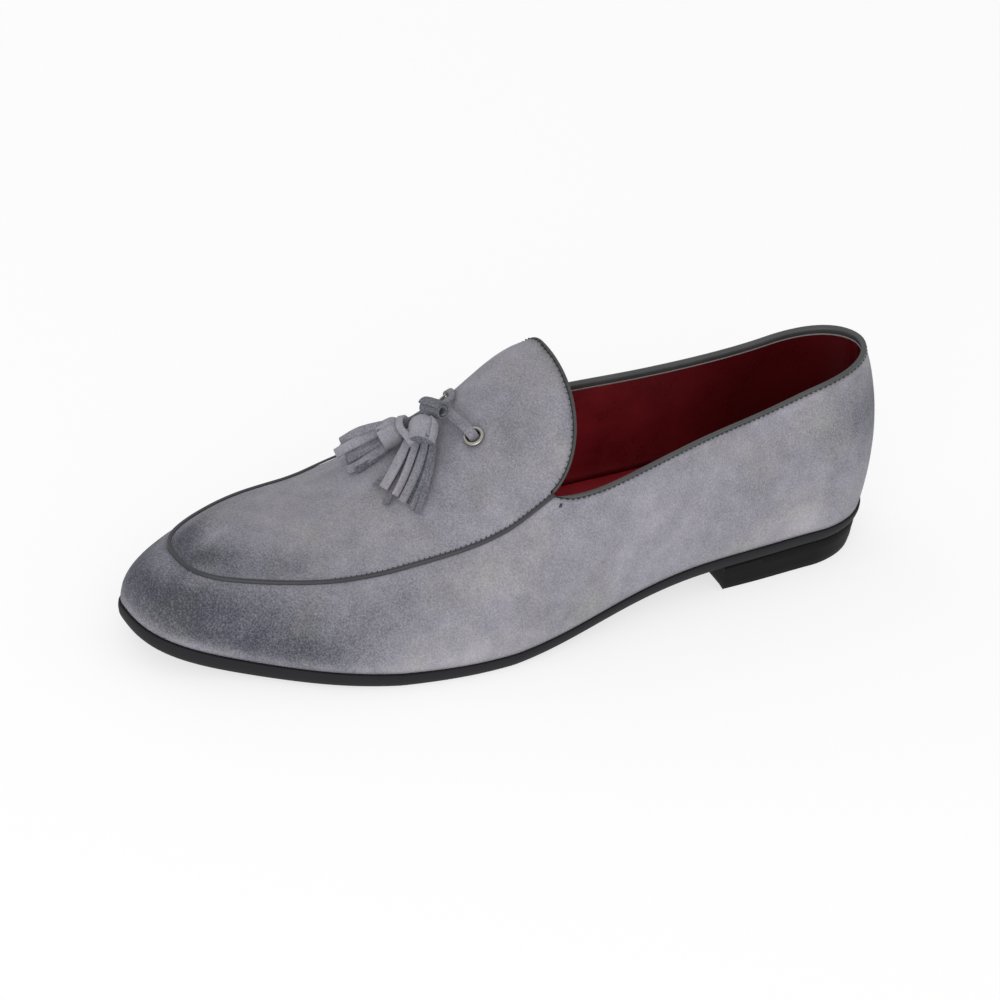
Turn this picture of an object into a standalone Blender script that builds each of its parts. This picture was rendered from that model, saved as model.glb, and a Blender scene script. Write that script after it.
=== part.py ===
# Tassel loafer, a left shoe, in metres with +Z up. The toe points to -Y, and +X is the outer side of the foot.
# A "station" is a share of the shoe's length, 0 at the toe and 1 at the heel. A "level" runs round the upper's
# wall at one station, from 0 at the sole's edge to 1 on the crest of the instep.
from bisect import bisect_right
from math import cos, pi, sin

import bmesh
import bpy
import numpy as np
from mathutils import Matrix, Vector

# Driving sizes of the last and the bottom.
SHOE_LENGTH = 0.300  # toe to heel, where the upper meets the sole
BALL_WIDTH = 0.1035
INSTEP_HEIGHT = 0.0835  # from the sole's top to the tongue's tip
BACK_HEIGHT = 0.0637  # from the sole's top to the collar at the back
TOE_SPRING = 0.0098
HEEL_HEIGHT = 0.0116
SOLE_THICKNESS = 0.0048  # at the waist and the heel
SOLE_EDGE = 0.0008  # the sole's top edge stands this far outside the upper
SOLE_TUCK = 0.0012  # its bottom edge lies this far inside its top edge
HEEL_TAPER = 0.0010  # the heel's bottom edge lies this far inside its top edge
BREAST = 0.746  # station of the heel's front face
INSOLE_THICKNESS = 0.0025
WALL = 0.0020  # suede and lining together
GAP = 0.0003  # between any two pieces

# The opening, its bindings and the raised seam of the apron.
NOTCH = 0.471  # station where apron, tongue and collar meet
TONGUE_REACH = 0.0174  # the tongue's tip lies this far behind the notch
TONGUE_SWELL = 0.60  # 1 for an elliptical tongue, less for a squarer one
COLLAR_BINDING = 0.0030
TONGUE_BINDING = 0.0016
BINDING_PROUD = 0.0004  # either binding is this much thicker than the wall, on each face
BINDING_RAMP = 0.0080  # the collar's binding grows to its full height over this length
BINDING_TOE = 0.35  # share of that length where the binding starts
SEAM_WIDTH = 0.0024
SEAM_HEIGHT = 0.0011

# The eyelets and the tassels.
EYELET_RADIUS = 0.0036
EYELET_HOLE = 0.0021
EYELET_BARREL = 0.0004  # wall of the tube through the upper
EYELET_FLANGE = 0.0009
STRAP_WIDTH = 0.0038
STRAP_THICKNESS = 0.0013
KNOT_RADIUS = 0.0036
KNOT_LENGTH = 0.0070
NECK_RADIUS = 0.0013
HEAD_RADIUS = 0.0048
STRIP_WIDTH = 0.0030
STRIP_THICKNESS = 0.0011
STRIPS = 8

OUTER, INNER = 1, -1  # sides of the foot, as signs of X

# Numbers of mesh columns and rows, and how much closer the columns lie towards the toe and the heel.
FORE_COLUMNS, REAR_COLUMNS = 18, 16
WALL_ROWS, APRON_ROWS = 6, 11
TOE_CROWDING, HEEL_CROWDING = 1.6, 1.4
ROUND = 20  # sides of the eyelets
KNOT_SIDES = 14
PIPING_SIDES = 6
STRAP_SECTIONS = 16
STRIP_SECTIONS = 5


def table(names, *rows):
    """Named columns from rows of numbers."""
    return dict(zip(names.split(), zip(*rows)))


# Half widths and sideways swing of the sole line, as shares of BALL_WIDTH. The swing is towards the inner side.
PLAN = table(
    "station half swing",
    (0.00, 0.344, 0.036),
    (0.10, 0.364, 0.042),
    (0.20, 0.471, 0.021),
    (0.30, 0.520, 0.003),
    (0.38, 0.491, -0.036),
    (0.50, 0.402, -0.074),
    (0.60, 0.356, -0.046),
    (0.70, 0.323, -0.025),
    (0.80, 0.315, -0.008),
    (0.90, 0.286, -0.006),
    (1.00, 0.288, 0.006),
)
# Lengths of the rounded ends as shares of the shoe's length, and how full each side of them is.
TOE_ROUND, TOE_FULLNESS = 0.233, {OUTER: 3.0, INNER: 1.58}
HEEL_ROUND, HEEL_FULLNESS = 0.109, 1.9

# Underside of the sole: shares of TOE_SPRING and HEEL_HEIGHT, and the thickness as a share of SOLE_THICKNESS.
# Where the two lifts add up to less than nothing the sole is flat on the ground.
BED = table(
    "station toe_lift heel_lift sole",
    (0.00, 1.00, 0.00, 1.24),
    (0.10, 0.25, 0.00, 1.19),
    (0.20, 0.11, 0.00, 1.13),
    (0.30, -0.03, -0.01, 1.07),
    (0.38, -0.03, -0.03, 1.05),
    (0.44, 0.00, 0.04, 1.05),
    (0.50, 0.00, 0.23, 1.05),
    (0.60, 0.00, 0.59, 1.05),
    (0.70, 0.00, 0.84, 1.05),
    (0.80, 0.00, 0.95, 1.05),
    (1.00, 0.00, 1.00, 0.97),
)

# Crest line above the sole's top as shares of INSTEP_HEIGHT, and its offset to the inner side as a share of
# BALL_WIDTH. Behind the tongue nothing is there, but the quarters lean towards it.
CREST = table(
    "station height inward",
    (0.06, 0.276, 0.029),
    (0.14, 0.406, 0.036),
    (0.24, 0.435, 0.030),
    (0.34, 0.620, 0.031),
    (0.42, 0.809, 0.040),
    (0.50, 1.000, 0.085),
    (0.60, 0.928, 0.022),
    (0.72, 0.888, 0.005),
    (0.90, 0.953, 0.005),
)
TOE_FAN = (0.117, 0.40)  # the sections fan out from a point this far back, and stand square from the second station
HEEL_FAN = (0.088, 0.40)

# Shape of each section between the sole line and the crest, as shares of its own height and reach.
SECTION = table(
    "station lean wall crown",
    (0.00, 0.098, 0.685, 0.584),
    (0.15, 0.142, 0.595, 0.584),
    (0.35, 0.117, 0.470, 0.500),
    (0.50, 0.095, 0.499, 0.640),
    (0.65, 0.142, 0.550, 0.568),
    (0.80, 0.112, 0.435, 0.425),
    (1.00, 0.150, 0.575, 0.547),
)

# Height of the collar above the sole's top, as shares of BACK_HEIGHT.
COLLAR = table(
    "station height",
    (0.46, 0.819),
    (0.52, 0.786),
    (0.60, 0.774),
    (0.70, 0.786),
    (0.80, 0.822),
    (0.90, 0.910),
    (1.00, 1.000),
)

# Level of the apron's seam. It ends at the notch, at the collar's level there.
SEAM = table(
    "station level",
    (0.00, 0.679),
    (0.06, 0.568),
    (0.14, 0.534),
    (0.24, 0.560),
    (0.34, 0.506),
)

# Places on the upper as station, side and level, with a height above it.
OUTER_EYELET = (0.414, OUTER, 0.856)
INNER_EYELET = (0.434, INNER, 0.690)
STRAP_ROUTE = (
    (0.410, OUTER, 0.949, 0.0036),
    (0.412, INNER, 0.955, 0.0052),
    (0.420, INNER, 0.860, 0.0036),
    (0.428, INNER, 0.765, 0.0024),
)
STRAP_CREST = STRAP_ROUTE[1]
KNOT_AIM = (0.370, INNER, 0.958, 0.0078)  # the knot points here from the strap's crest
OUTER_HEAD = ((0.380, INNER, 0.980, 0.0078), (0.358, OUTER, 0.940, 0.0074))  # start and end of the tassel's head
OUTER_TIPS = (0.312, OUTER, 0.801, 0.0042)
INNER_HEAD = ((0.371, INNER, 0.860, 0.0068), (0.340, INNER, 0.900, 0.0068))
INNER_TIPS = (0.299, INNER, 0.811, 0.0052)
OUTER_FAN = (0.0085, 0.0026)  # half spread of the tips, sideways and up
INNER_FAN = (0.0068, 0.0038)

# Outlines of the knot and of a tassel's head, as shares of their own length and radius.
KNOT_SHAPE = table(
    "along radius",
    (0.00, 0.70),
    (0.10, 0.92),
    (0.30, 1.00),
    (0.70, 1.00),
    (0.90, 0.92),
    (1.00, 0.70),
)
HEAD_SHAPE = table(
    "along radius",
    (0.00, 0.60),
    (0.15, 0.90),
    (0.45, 1.00),
    (0.85, 0.97),
    (1.00, 0.90),
    (1.00, 0.45),
)
STRIP_ROOT = (0.90 + 0.45) / 2  # the strips leave the head's end at this share of its radius

# Base colour, roughness and metallic value of each finish.
SUEDE = ((0.300, 0.295, 0.335), 0.95, 0.0)
BINDING = ((0.130, 0.133, 0.132), 0.55, 0.0)
SOLE_LEATHER = ((0.020, 0.020, 0.021), 0.40, 0.0)
LINING = ((0.180, 0.012, 0.016), 0.35, 0.0)
NICKEL = ((0.620, 0.600, 0.560), 0.25, 1.0)


def smooth(stations, values):
    """A natural cubic curve through the values."""
    steps = np.diff(stations)
    slopes = np.diff(values) / steps
    count = len(stations)
    system = np.eye(count)
    right = np.zeros(count)
    for i in range(1, count - 1):
        system[i, i - 1 : i + 2] = steps[i - 1], 2 * (steps[i - 1] + steps[i]), steps[i]
        right[i] = 6 * (slopes[i] - slopes[i - 1])
    bends = np.linalg.solve(system, right)

    def curve(station):
        i = min(max(bisect_right(stations, station) - 1, 0), count - 2)
        t, step = station - stations[i], steps[i]
        tangent = slopes[i] - step * (2 * bends[i] + bends[i + 1]) / 6
        return float(values[i] + t * tangent + t * t * bends[i] / 2 + t**3 * (bends[i + 1] - bends[i]) / (6 * step))

    return curve


def curve_of(columns, name):
    return smooth(columns["station"], columns[name])


half_share = curve_of(PLAN, "half")
swing_share = curve_of(PLAN, "swing")
toe_lift = curve_of(BED, "toe_lift")
heel_lift = curve_of(BED, "heel_lift")
sole_share = curve_of(BED, "sole")
crest_share = curve_of(CREST, "height")
inward_share = curve_of(CREST, "inward")
lean_share = curve_of(SECTION, "lean")
wall_share = curve_of(SECTION, "wall")
crown_share = curve_of(SECTION, "crown")
collar_share = curve_of(COLLAR, "height")


def rounded(distance, length, fullness):
    """Share of the full width at this distance from a rounded end."""
    inside = min(max(1 - distance / length, 0.0), 1.0)
    return (1 - inside**fullness) ** (1 / fullness)


def ground(station):
    """Height of the sole's underside."""
    return max(0.0, TOE_SPRING * toe_lift(station) + HEEL_HEIGHT * heel_lift(station))


def sole_top(station):
    return ground(station) + SOLE_THICKNESS * sole_share(station)


def sole_line(station, side):
    """Plan point where the upper meets the sole."""
    ends = rounded(station, TOE_ROUND, TOE_FULLNESS[side]) * rounded(1 - station, HEEL_ROUND, HEEL_FULLNESS)
    across = INNER * swing_share(station) + side * half_share(station) * ends
    return Vector((BALL_WIDTH * across, SHOE_LENGTH * (station - 0.5)))


def outline(station, side, out, height):
    """The sole line moved outwards by a distance, at a height."""
    step = 1e-4
    if step < station < 1 - step:
        along = sole_line(station + step, side) - sole_line(station - step, side)
        outward = side * Vector((along.y, -along.x)).normalized()
    else:
        outward = Vector((0.0, -1.0 if station < 0.5 else 1.0))
    place = sole_line(station, side) + out * outward
    return Vector((place.x, place.y, height))


def crest_height(station):
    return sole_top(station) + INSTEP_HEIGHT * crest_share(station)


def crest_of(station):
    """Crest point that the section at this station rises to, and the crest's slope there."""
    toe_pole, toe_end = TOE_FAN
    heel_pole, heel_end = HEEL_FAN
    reached = station + toe_pole * max(1 - station / toe_end, 0.0) ** 3
    reached -= heel_pole * max(1 - (1 - station) / heel_end, 0.0) ** 3
    step = 1e-3
    slope = (crest_height(reached + step) - crest_height(reached - step)) / (2 * step * SHOE_LENGTH)
    across = BALL_WIDTH * INNER * inward_share(reached)
    return Vector((across, SHOE_LENGTH * (reached - 0.5), crest_height(reached))), slope


def skin(station, side, level):
    """Point on the upper's outer surface."""
    start = sole_line(station, side).to_3d()
    start.z = sole_top(station) + GAP
    end, slope = crest_of(station)
    reach = (start - end).to_2d()
    away = reach.normalized()
    rise = end.z - start.z
    lean = lean_share(station)
    wall = start + Vector((away.x * lean, away.y * lean, 1.0)) * rise * wall_share(station)
    crown = end + Vector((away.x, away.y, slope * away.y)) * reach.length * crown_share(station)
    rest = 1 - level
    return rest**3 * start + 3 * rest**2 * level * wall + 3 * rest * level**2 * crown + level**3 * end


def outward_at(station, side, level):
    """Unit normal of the upper's outer surface."""
    step = 1e-3
    low = max(station - step, 0.0)
    high = min(station + step, 1.0)
    level = min(level, 0.985)
    along = skin(high, side, level) - skin(low, side, level)
    up = skin(station, side, level + step) - skin(station, side, level - step)
    return (along.cross(up) * side).normalized()


def lifted(station, side, level, height):
    """Point at a height above the upper's outer surface."""
    return skin(station, side, level) + outward_at(station, side, level) * height


def level_at_height(station, side, height):
    low, high = 0.0, 1.0
    for _ in range(30):
        middle = (low + high) / 2
        if skin(station, side, middle).z < height:
            low = middle
        else:
            high = middle
    return low


def collar_level(station, side, drop):
    """Level of the line that runs this far below the collar's edge."""
    return level_at_height(station, side, sole_top(station) + BACK_HEIGHT * collar_share(station) - drop)


NOTCH_LEVEL = {side: collar_level(NOTCH, side, 0.0) for side in (OUTER, INNER)}
SEAM_LEVEL = {
    side: smooth(SEAM["station"] + (NOTCH,), SEAM["level"] + (NOTCH_LEVEL[side],)) for side in (OUTER, INNER)
}


def arc_to_crest(side):
    """Length over the upper from the notch to the crest."""
    count = 20
    start = NOTCH_LEVEL[side]
    points = [skin(NOTCH, side, start + (1 - start) * k / count) for k in range(count + 1)]
    return sum((after - before).length for before, after in zip(points, points[1:]))


TONGUE_ARC = {side: arc_to_crest(side) for side in (OUTER, INNER)}


def wall_drop(station):
    """How far below the collar's edge the upper's own wall stops."""
    ramp = min((station - NOTCH) * SHOE_LENGTH / BINDING_RAMP, 1.0)
    return (COLLAR_BINDING + GAP) * ramp


def tongue_edge(side, turn, inset):
    """Station and level on the tongue's rounded edge, drawn in by a distance. The turn is 0 at the notch."""
    reach = (TONGUE_REACH - inset) / SHOE_LENGTH
    height = (1 - NOTCH_LEVEL[side]) * (1 - inset / TONGUE_ARC[side])
    return NOTCH + reach * sin(turn), 1 - height * max(cos(turn), 0.0) ** TONGUE_SWELL


def stations_between(start, end, count, thicken):
    """Stations from start to end, closer together towards the start."""
    return [start + (end - start) * (i / count) ** thicken for i in range(count + 1)]


BINDING_START = NOTCH + BINDING_TOE * BINDING_RAMP / SHOE_LENGTH
FORE = stations_between(0.0, NOTCH, FORE_COLUMNS, TOE_CROWDING)
REAR = stations_between(1.0, NOTCH + BINDING_RAMP / SHOE_LENGTH, REAR_COLUMNS, HEEL_CROWDING)
STATIONS = FORE + [BINDING_START] + REAR[::-1]
TONGUE_TURNS = [pi / 2 * step / (APRON_ROWS - 1) for step in range(APRON_ROWS)]
AROUND = [(station, OUTER) for station in reversed(STATIONS)] + [(station, INNER) for station in STATIONS[1:]]


def material_of(name, finish):
    material = bpy.data.materials.get(name) or bpy.data.materials.new(name)
    material.use_nodes = True
    shader = material.node_tree.nodes["Principled BSDF"]
    colour, roughness, metallic = finish
    shader.inputs["Base Color"].default_value = (*colour, 1.0)
    shader.inputs["Roughness"].default_value = roughness
    shader.inputs["Metallic"].default_value = metallic
    material.diffuse_color = (*colour, 1.0)
    return material


def add_grid(made, columns, rows):
    """Adds columns x rows cells to a bmesh, each corner at its column and row, and gives the corners."""
    corners = bmesh.ops.create_grid(made, x_segments=columns, y_segments=rows, size=1.0)["verts"]
    for corner in corners:
        corner.co = (round((corner.co.x + 1) / 2 * columns), round((corner.co.y + 1) / 2 * rows), 0.0)
    return corners


def grid(columns, rows, place):
    """A bmesh of columns x rows cells whose corners are put where place says."""
    made = bmesh.new()
    for corner in add_grid(made, columns, rows):
        corner.co = place(round(corner.co.x), round(corner.co.y))
    return made


def weld(made):
    bmesh.ops.remove_doubles(made, verts=made.verts, dist=1e-6)


def close(made):
    """Fills the open ends of a tube and turns all its faces outwards."""
    bmesh.ops.holes_fill(made, edges=made.edges, sides=0)
    bmesh.ops.recalc_face_normals(made, faces=made.faces)
    if made.calc_volume(signed=True) < 0:
        bmesh.ops.reverse_faces(made, faces=made.faces)


def finish(made, name, finish_name, look):
    """Turns a bmesh into an object with its own material."""
    mesh = bpy.data.meshes.new(name)
    made.to_mesh(mesh)
    made.free()
    mesh.materials.append(material_of(f"{name}_{finish_name}", look))
    mesh.shade_smooth()
    mesh.set_sharp_from_angle(angle=pi / 5)
    piece = bpy.data.objects.new(name, mesh)
    bpy.context.scene.collection.objects.link(piece)
    return piece


def loft(name, sections, ring, place, finish_name, look):
    """A closed solid through rings of points, which place gives by section and by place in the ring."""
    made = grid(sections - 1, ring, lambda section, k: place(section, k % ring))
    weld(made)
    close(made)
    return finish(made, name, finish_name, look)


def plate(name, stations, layers, finish_name, look):
    """A flat piece under the foot. Each layer gives, by station, how far out its edge is and its height."""
    count = len(layers)

    def place(section, k):
        station = stations[section]
        side, layer = (OUTER, k) if k < count else (INNER, 2 * count - 1 - k)
        return outline(station, side, *layers[layer](station))

    return loft(name, len(stations), 2 * count, place, finish_name, look)


def add_skin(made, columns, rows, where):
    """Adds a sheet on the upper's outer surface, whose corners keep the station, side and level from where."""
    places = made.verts.layers.float_vector.verify()
    for corner in add_grid(made, columns, rows):
        corner[places] = where(round(corner.co.x), round(corner.co.y))
        corner.co = skin(*corner[places])


def thicken(made, depth):
    """Gives a sheet on the upper its wall: an inner copy along the true normals, joined at the open edges."""
    places = made.verts.layers.float_vector.verify()
    rim = [edge for edge in made.edges if edge.is_boundary]
    copied = bmesh.ops.duplicate(made, geom=made.verts[:] + made.edges[:] + made.faces[:])
    inner_of = copied["vert_map"]
    for item in copied["geom"]:
        if isinstance(item, bmesh.types.BMVert):
            item.co = lifted(*item[places], -depth)
        elif isinstance(item, bmesh.types.BMFace):
            item.normal_flip()
    for edge in rim:
        first, second = edge.verts
        made.faces.new((first, second, inner_of[second], inner_of[first]))
    bmesh.ops.recalc_face_normals(made, faces=made.faces)


def make_upper():
    """Vamp, quarters, apron and tongue as one wall of even thickness, open at the collar and underneath."""

    def top_level(station, side):
        if station <= NOTCH:
            return SEAM_LEVEL[side](station)
        return collar_level(station, side, wall_drop(station))

    tops = [top_level(station, side) for station, side in AROUND]

    def wall_where(column, row):
        return *AROUND[column], tops[column] * row / WALL_ROWS

    def apron_where(column, row):
        side = OUTER if row <= APRON_ROWS else INNER
        step = min(row, 2 * APRON_ROWS - row)
        station = FORE[column]
        if step == 0:
            return station, side, SEAM_LEVEL[side](station)
        end, level = tongue_edge(side, TONGUE_TURNS[step - 1], TONGUE_BINDING + GAP)
        climb = (level - NOTCH_LEVEL[side]) / (1 - NOTCH_LEVEL[side])
        station *= end / NOTCH
        seam = SEAM_LEVEL[side](min(station, NOTCH))
        return station, side, seam + (1 - seam) * climb

    made = bmesh.new()
    add_skin(made, len(AROUND) - 1, WALL_ROWS, wall_where)
    add_skin(made, FORE_COLUMNS, 2 * APRON_ROWS, apron_where)
    weld(made)
    bmesh.ops.triangulate(made, faces=made.faces, quad_method="SHORT_EDGE")
    thicken(made, WALL)
    upper = finish(made, "upper", "suede", SUEDE)
    for name, place in (("outer", OUTER_EYELET), ("inner", INNER_EYELET)):
        hole = upper.modifiers.new(f"{name}_eyelet_hole", "BOOLEAN")
        hole.operation = "DIFFERENCE"
        hole.object = eyelet_cutter(name, place)
    return upper


def stand_on(piece, station, side, level):
    """Places a piece with its local Z along the upper's outward normal."""
    up = outward_at(station, side, level)
    along = (skin(station + 1e-3, side, level) - skin(station - 1e-3, side, level)).normalized()
    across = up.cross(along).normalized()
    turned = Matrix((across, up.cross(across), up)).transposed()
    piece.rotation_euler = turned.to_euler()
    piece.location = skin(station, side, level)


def eyelet_cutter(name, place):
    made = bmesh.new()
    radius = EYELET_HOLE + EYELET_BARREL + 2 * GAP
    bmesh.ops.create_cone(
        made, cap_ends=True, segments=ROUND, radius1=radius, radius2=radius, depth=6 * WALL
    )
    cutter = finish(made, f"{name}_eyelet_cutter", "guide", NICKEL)
    cutter.hide_render = True
    cutter.display_type = "WIRE"
    stand_on(cutter, *place)
    return cutter


def make_eyelet(name, place):
    """A turned ring whose tube passes through the upper's wall and is turned over inside."""
    hole = EYELET_HOLE
    tube = hole + EYELET_BARREL
    front = 1.5 * GAP
    face = front + EYELET_FLANGE
    inside = -(WALL + 2 * GAP)
    back = inside - EYELET_FLANGE / 2
    rolled = 0.85 * EYELET_RADIUS
    profile = (
        (hole, face - EYELET_FLANGE / 3),
        ((hole + EYELET_RADIUS) / 2, face),
        (EYELET_RADIUS - EYELET_FLANGE / 3, face - EYELET_FLANGE / 6),
        (EYELET_RADIUS, front + EYELET_FLANGE / 3),
        (EYELET_RADIUS - EYELET_FLANGE / 6, front),
        (tube, front),
        (tube, inside),
        (rolled, inside),
        (rolled, back),
        (hole, back),
    )
    made = bmesh.new()
    corners = [made.verts.new((radius, 0.0, height)) for radius, height in profile]
    edges = [made.edges.new((corners[k - 1], corners[k])) for k in range(len(corners))]
    bmesh.ops.spin(
        made, geom=corners + edges, cent=(0, 0, 0), axis=(0, 0, 1), angle=2 * pi, steps=ROUND, use_merge=True
    )
    close(made)
    eyelet = finish(made, name, "nickel", NICKEL)
    stand_on(eyelet, *place)
    return eyelet


def make_apron_piping():
    """The raised seam round the apron, from notch to notch round the toe."""
    start = NOTCH - 2 * GAP / SHOE_LENGTH
    run = [start * station / NOTCH for station in FORE]
    path = [(station, OUTER) for station in reversed(run)] + [(station, INNER) for station in run[1:]]

    def place(section, k):
        station, side = path[section]
        level = SEAM_LEVEL[side](station)
        step = 1e-3
        per_level = (skin(station, side, level + step) - skin(station, side, level - step)).length / (2 * step)
        angle = pi * k / (PIPING_SIDES - 1)
        shift = SEAM_WIDTH / 2 * cos(angle) / per_level
        return lifted(station, side, level + shift, GAP + SEAM_HEIGHT * sin(angle))

    return loft("apron_piping", len(path), PIPING_SIDES, place, "leather", BINDING)


def binding_ring(low, high):
    """Six corners of a binding's section, as level between low and high, and height above the outer surface."""
    middle = (low + high) / 2
    back = -WALL - BINDING_PROUD
    return (
        (low, BINDING_PROUD / 2),
        (middle, BINDING_PROUD),
        (high, 0.0),
        (high, -WALL),
        (middle, back),
        (low, back + BINDING_PROUD / 2),
    )


def make_collar_binding():
    run = [station for station in STATIONS if station >= BINDING_START]
    path = [(station, OUTER) for station in run] + [(station, INNER) for station in reversed(run[:-1])]
    rings = []
    for station, side in path:
        low = collar_level(station, side, wall_drop(station) - GAP)
        rings.append(binding_ring(low, collar_level(station, side, 0.0)))

    def place(section, k):
        return lifted(*path[section], *rings[section][k])

    return loft("collar_binding", len(path), 6, place, "leather", BINDING)


def make_tongue_binding():
    """The bound edge of the tongue, from notch to notch over its tip."""
    turns = TONGUE_TURNS[:]
    turns[0] = 2.5 * GAP / TONGUE_REACH
    path = [(turn, OUTER) for turn in turns] + [(turn, INNER) for turn in reversed(turns[:-1])]
    back = -WALL - BINDING_PROUD
    ring = (
        (TONGUE_BINDING, BINDING_PROUD / 2),
        (TONGUE_BINDING / 2, BINDING_PROUD),
        (GAP, 0.0),
        (GAP, -WALL),
        (TONGUE_BINDING / 2, back),
        (TONGUE_BINDING, back + BINDING_PROUD / 2),
    )

    def place(section, k):
        turn, side = path[section]
        inset, height = ring[k]
        station, level = tongue_edge(side, turn, inset)
        return lifted(station, side, level, height)

    return loft("tongue_binding", len(path), 6, place, "leather", BINDING)


def make_insole():
    inset = -(WALL + 2 * GAP)
    return plate(
        "insole",
        STATIONS,
        (
            lambda station: (inset, sole_top(station) + GAP + INSOLE_THICKNESS),
            lambda station: (inset, sole_top(station) + GAP),
        ),
        "leather",
        LINING,
    )


def make_outsole():
    return plate(
        "outsole",
        STATIONS,
        (
            lambda station: (SOLE_EDGE, sole_top(station)),
            lambda station: (SOLE_EDGE, (2 * sole_top(station) + ground(station)) / 3),
            lambda station: (SOLE_EDGE - SOLE_TUCK, ground(station)),
        ),
        "leather",
        SOLE_LEATHER,
    )


def make_heel():
    stations = [BREAST] + [station for station in STATIONS if station > BREAST]
    top_edge = SOLE_EDGE - SOLE_TUCK
    return plate(
        "heel",
        stations,
        (
            lambda station: (top_edge, ground(station) - GAP),
            lambda station: (top_edge - HEEL_TAPER, 0.0),
        ),
        "rubber",
        SOLE_LEATHER,
    )


def frames_along(points, up):
    """Each point of a path with its across and up directions."""
    frames = []
    for i, point in enumerate(points):
        along = (points[min(i + 1, len(points) - 1)] - points[max(i - 1, 0)]).normalized()
        across = along.cross(up[i]).normalized()
        frames.append((point, across, across.cross(along)))
    return frames


def smooth_path(knots, count):
    """Points spread evenly along a smooth curve through the knots."""
    lengths = [0.0]
    for before, after in zip(knots, knots[1:]):
        lengths.append(lengths[-1] + (after - before).length)
    axes = [smooth(lengths, [knot[axis] for knot in knots]) for axis in range(3)]
    return [Vector([axis(lengths[-1] * k / (count - 1)) for axis in axes]) for k in range(count)]


def make_strap():
    """The flat thong from one eyelet over the instep to the other."""
    over_eyelet = 2.5 * GAP + EYELET_FLANGE + STRAP_THICKNESS / 2
    places = [(*OUTER_EYELET, over_eyelet), *STRAP_ROUTE, (*INNER_EYELET, over_eyelet)]
    points = smooth_path([lifted(*place) for place in places], STRAP_SECTIONS)
    normals = smooth_path([outward_at(*place[:3]) for place in places], STRAP_SECTIONS)
    frames = frames_along(points, normals)
    corners = ((1, 1), (1, -1), (-1, -1), (-1, 1))

    def place(section, k):
        centre, across, up = frames[section]
        right, above = corners[k]
        return centre + across * (STRAP_WIDTH / 2 * right) + up * (STRAP_THICKNESS / 2 * above)

    return loft("tassel_strap", STRAP_SECTIONS, len(corners), place, "suede", SUEDE)


def knot_axis():
    """Centre and direction of the knot, which points from the strap to between the tassels."""
    crest = lifted(*STRAP_CREST)
    along = (lifted(*KNOT_AIM) - crest).normalized()
    return crest + along * (STRAP_WIDTH / 2 + 4 * GAP + KNOT_LENGTH / 2), along


def turned_rings(profile, ring):
    """Place function for a loft of round sections: each has a centre, a direction and a radius."""

    def place(section, k):
        centre, along, radius = profile[section]
        across = along.cross(Vector((0, 0, 1))).normalized()
        angle = 2 * pi * k / ring
        return centre + (across * cos(angle) + across.cross(along) * sin(angle)) * radius

    return place


def make_knot():
    centre, along = knot_axis()
    shape = KNOT_SHAPE["along"], KNOT_SHAPE["radius"]
    profile = [(centre + along * KNOT_LENGTH * (t - 0.5), along, KNOT_RADIUS * share) for t, share in zip(*shape)]
    return loft("tassel_knot", len(profile), KNOT_SIDES, turned_rings(profile, KNOT_SIDES), "suede", SUEDE)


def make_tassel(name, side, head, tips, fan):
    """A wrapped head on a neck that starts at the knot, with flat strips that run on from its end."""
    knot_centre, knot_along = knot_axis()
    sideways = knot_along.cross(Vector((0, 0, 1))).normalized()
    front = knot_centre + knot_along * (KNOT_LENGTH / 2 + 2 * GAP) - sideways * side * (NECK_RADIUS + GAP)
    start, end, tip = lifted(*head[0]), lifted(*head[1]), lifted(*tips)
    along = (end - start).normalized()
    ring = 2 * STRIPS
    lead = (start - front).normalized()
    profile = [(front, knot_along, NECK_RADIUS), (front.lerp(start, 0.6), lead, NECK_RADIUS)]
    profile += [
        (start.lerp(end, t), along, share * HEAD_RADIUS)
        for t, share in zip(HEAD_SHAPE["along"], HEAD_SHAPE["radius"])
    ]
    made = grid(len(profile) - 1, ring, lambda section, k: turned_rings(profile, ring)(section, k % ring))
    weld(made)
    close(made)
    way = (tip - end).normalized()
    across = way.cross(Vector((0, 0, 1))).normalized()
    up = across.cross(way)
    head_across = along.cross(Vector((0, 0, 1))).normalized()
    head_up = head_across.cross(along)
    for i in range(STRIPS):
        angle = 2 * pi * (2 * i + 0.5) / ring
        radial = head_across * cos(angle) + head_up * sin(angle)
        root = end + radial * STRIP_ROOT * HEAD_RADIUS
        face = min(made.faces, key=lambda face: (face.calc_center_median() - root).length)
        goal = tip + across * cos(angle) * fan[0] + up * sin(angle) * fan[1]
        grow_strip(made, face, radial, goal, along)
    return finish(made, name, "suede", SUEDE)


def grow_strip(made, face, radial, goal, along):
    """Extrudes one face of the head's end into a flat strip that bends towards its goal."""
    root = face.calc_center_median()
    pull = root + along * (goal - root).length * 0.4
    for step in range(1, STRIP_SECTIONS + 1):
        t = step / STRIP_SECTIONS
        centre = root * (1 - t) ** 2 + pull * 2 * t * (1 - t) + goal * t * t
        heading = ((pull - root) * (1 - t) + (goal - pull) * t).normalized()
        grown = bmesh.ops.extrude_discrete_faces(made, faces=[face])
        face = grown["faces"][0]
        wide = heading.cross(radial).normalized()
        thick = wide.cross(heading)
        widening = min(1.0, 0.55 + 0.9 * t)
        middle = face.calc_center_median()
        for corner in face.verts:
            offset = corner.co - middle
            sign_wide = 1 if offset.dot(wide) > 0 else -1
            sign_thick = 1 if offset.dot(thick) > 0 else -1
            corner.co = (
                centre
                + wide * sign_wide * STRIP_WIDTH / 2 * widening
                + thick * sign_thick * STRIP_THICKNESS / 2
            )


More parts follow.
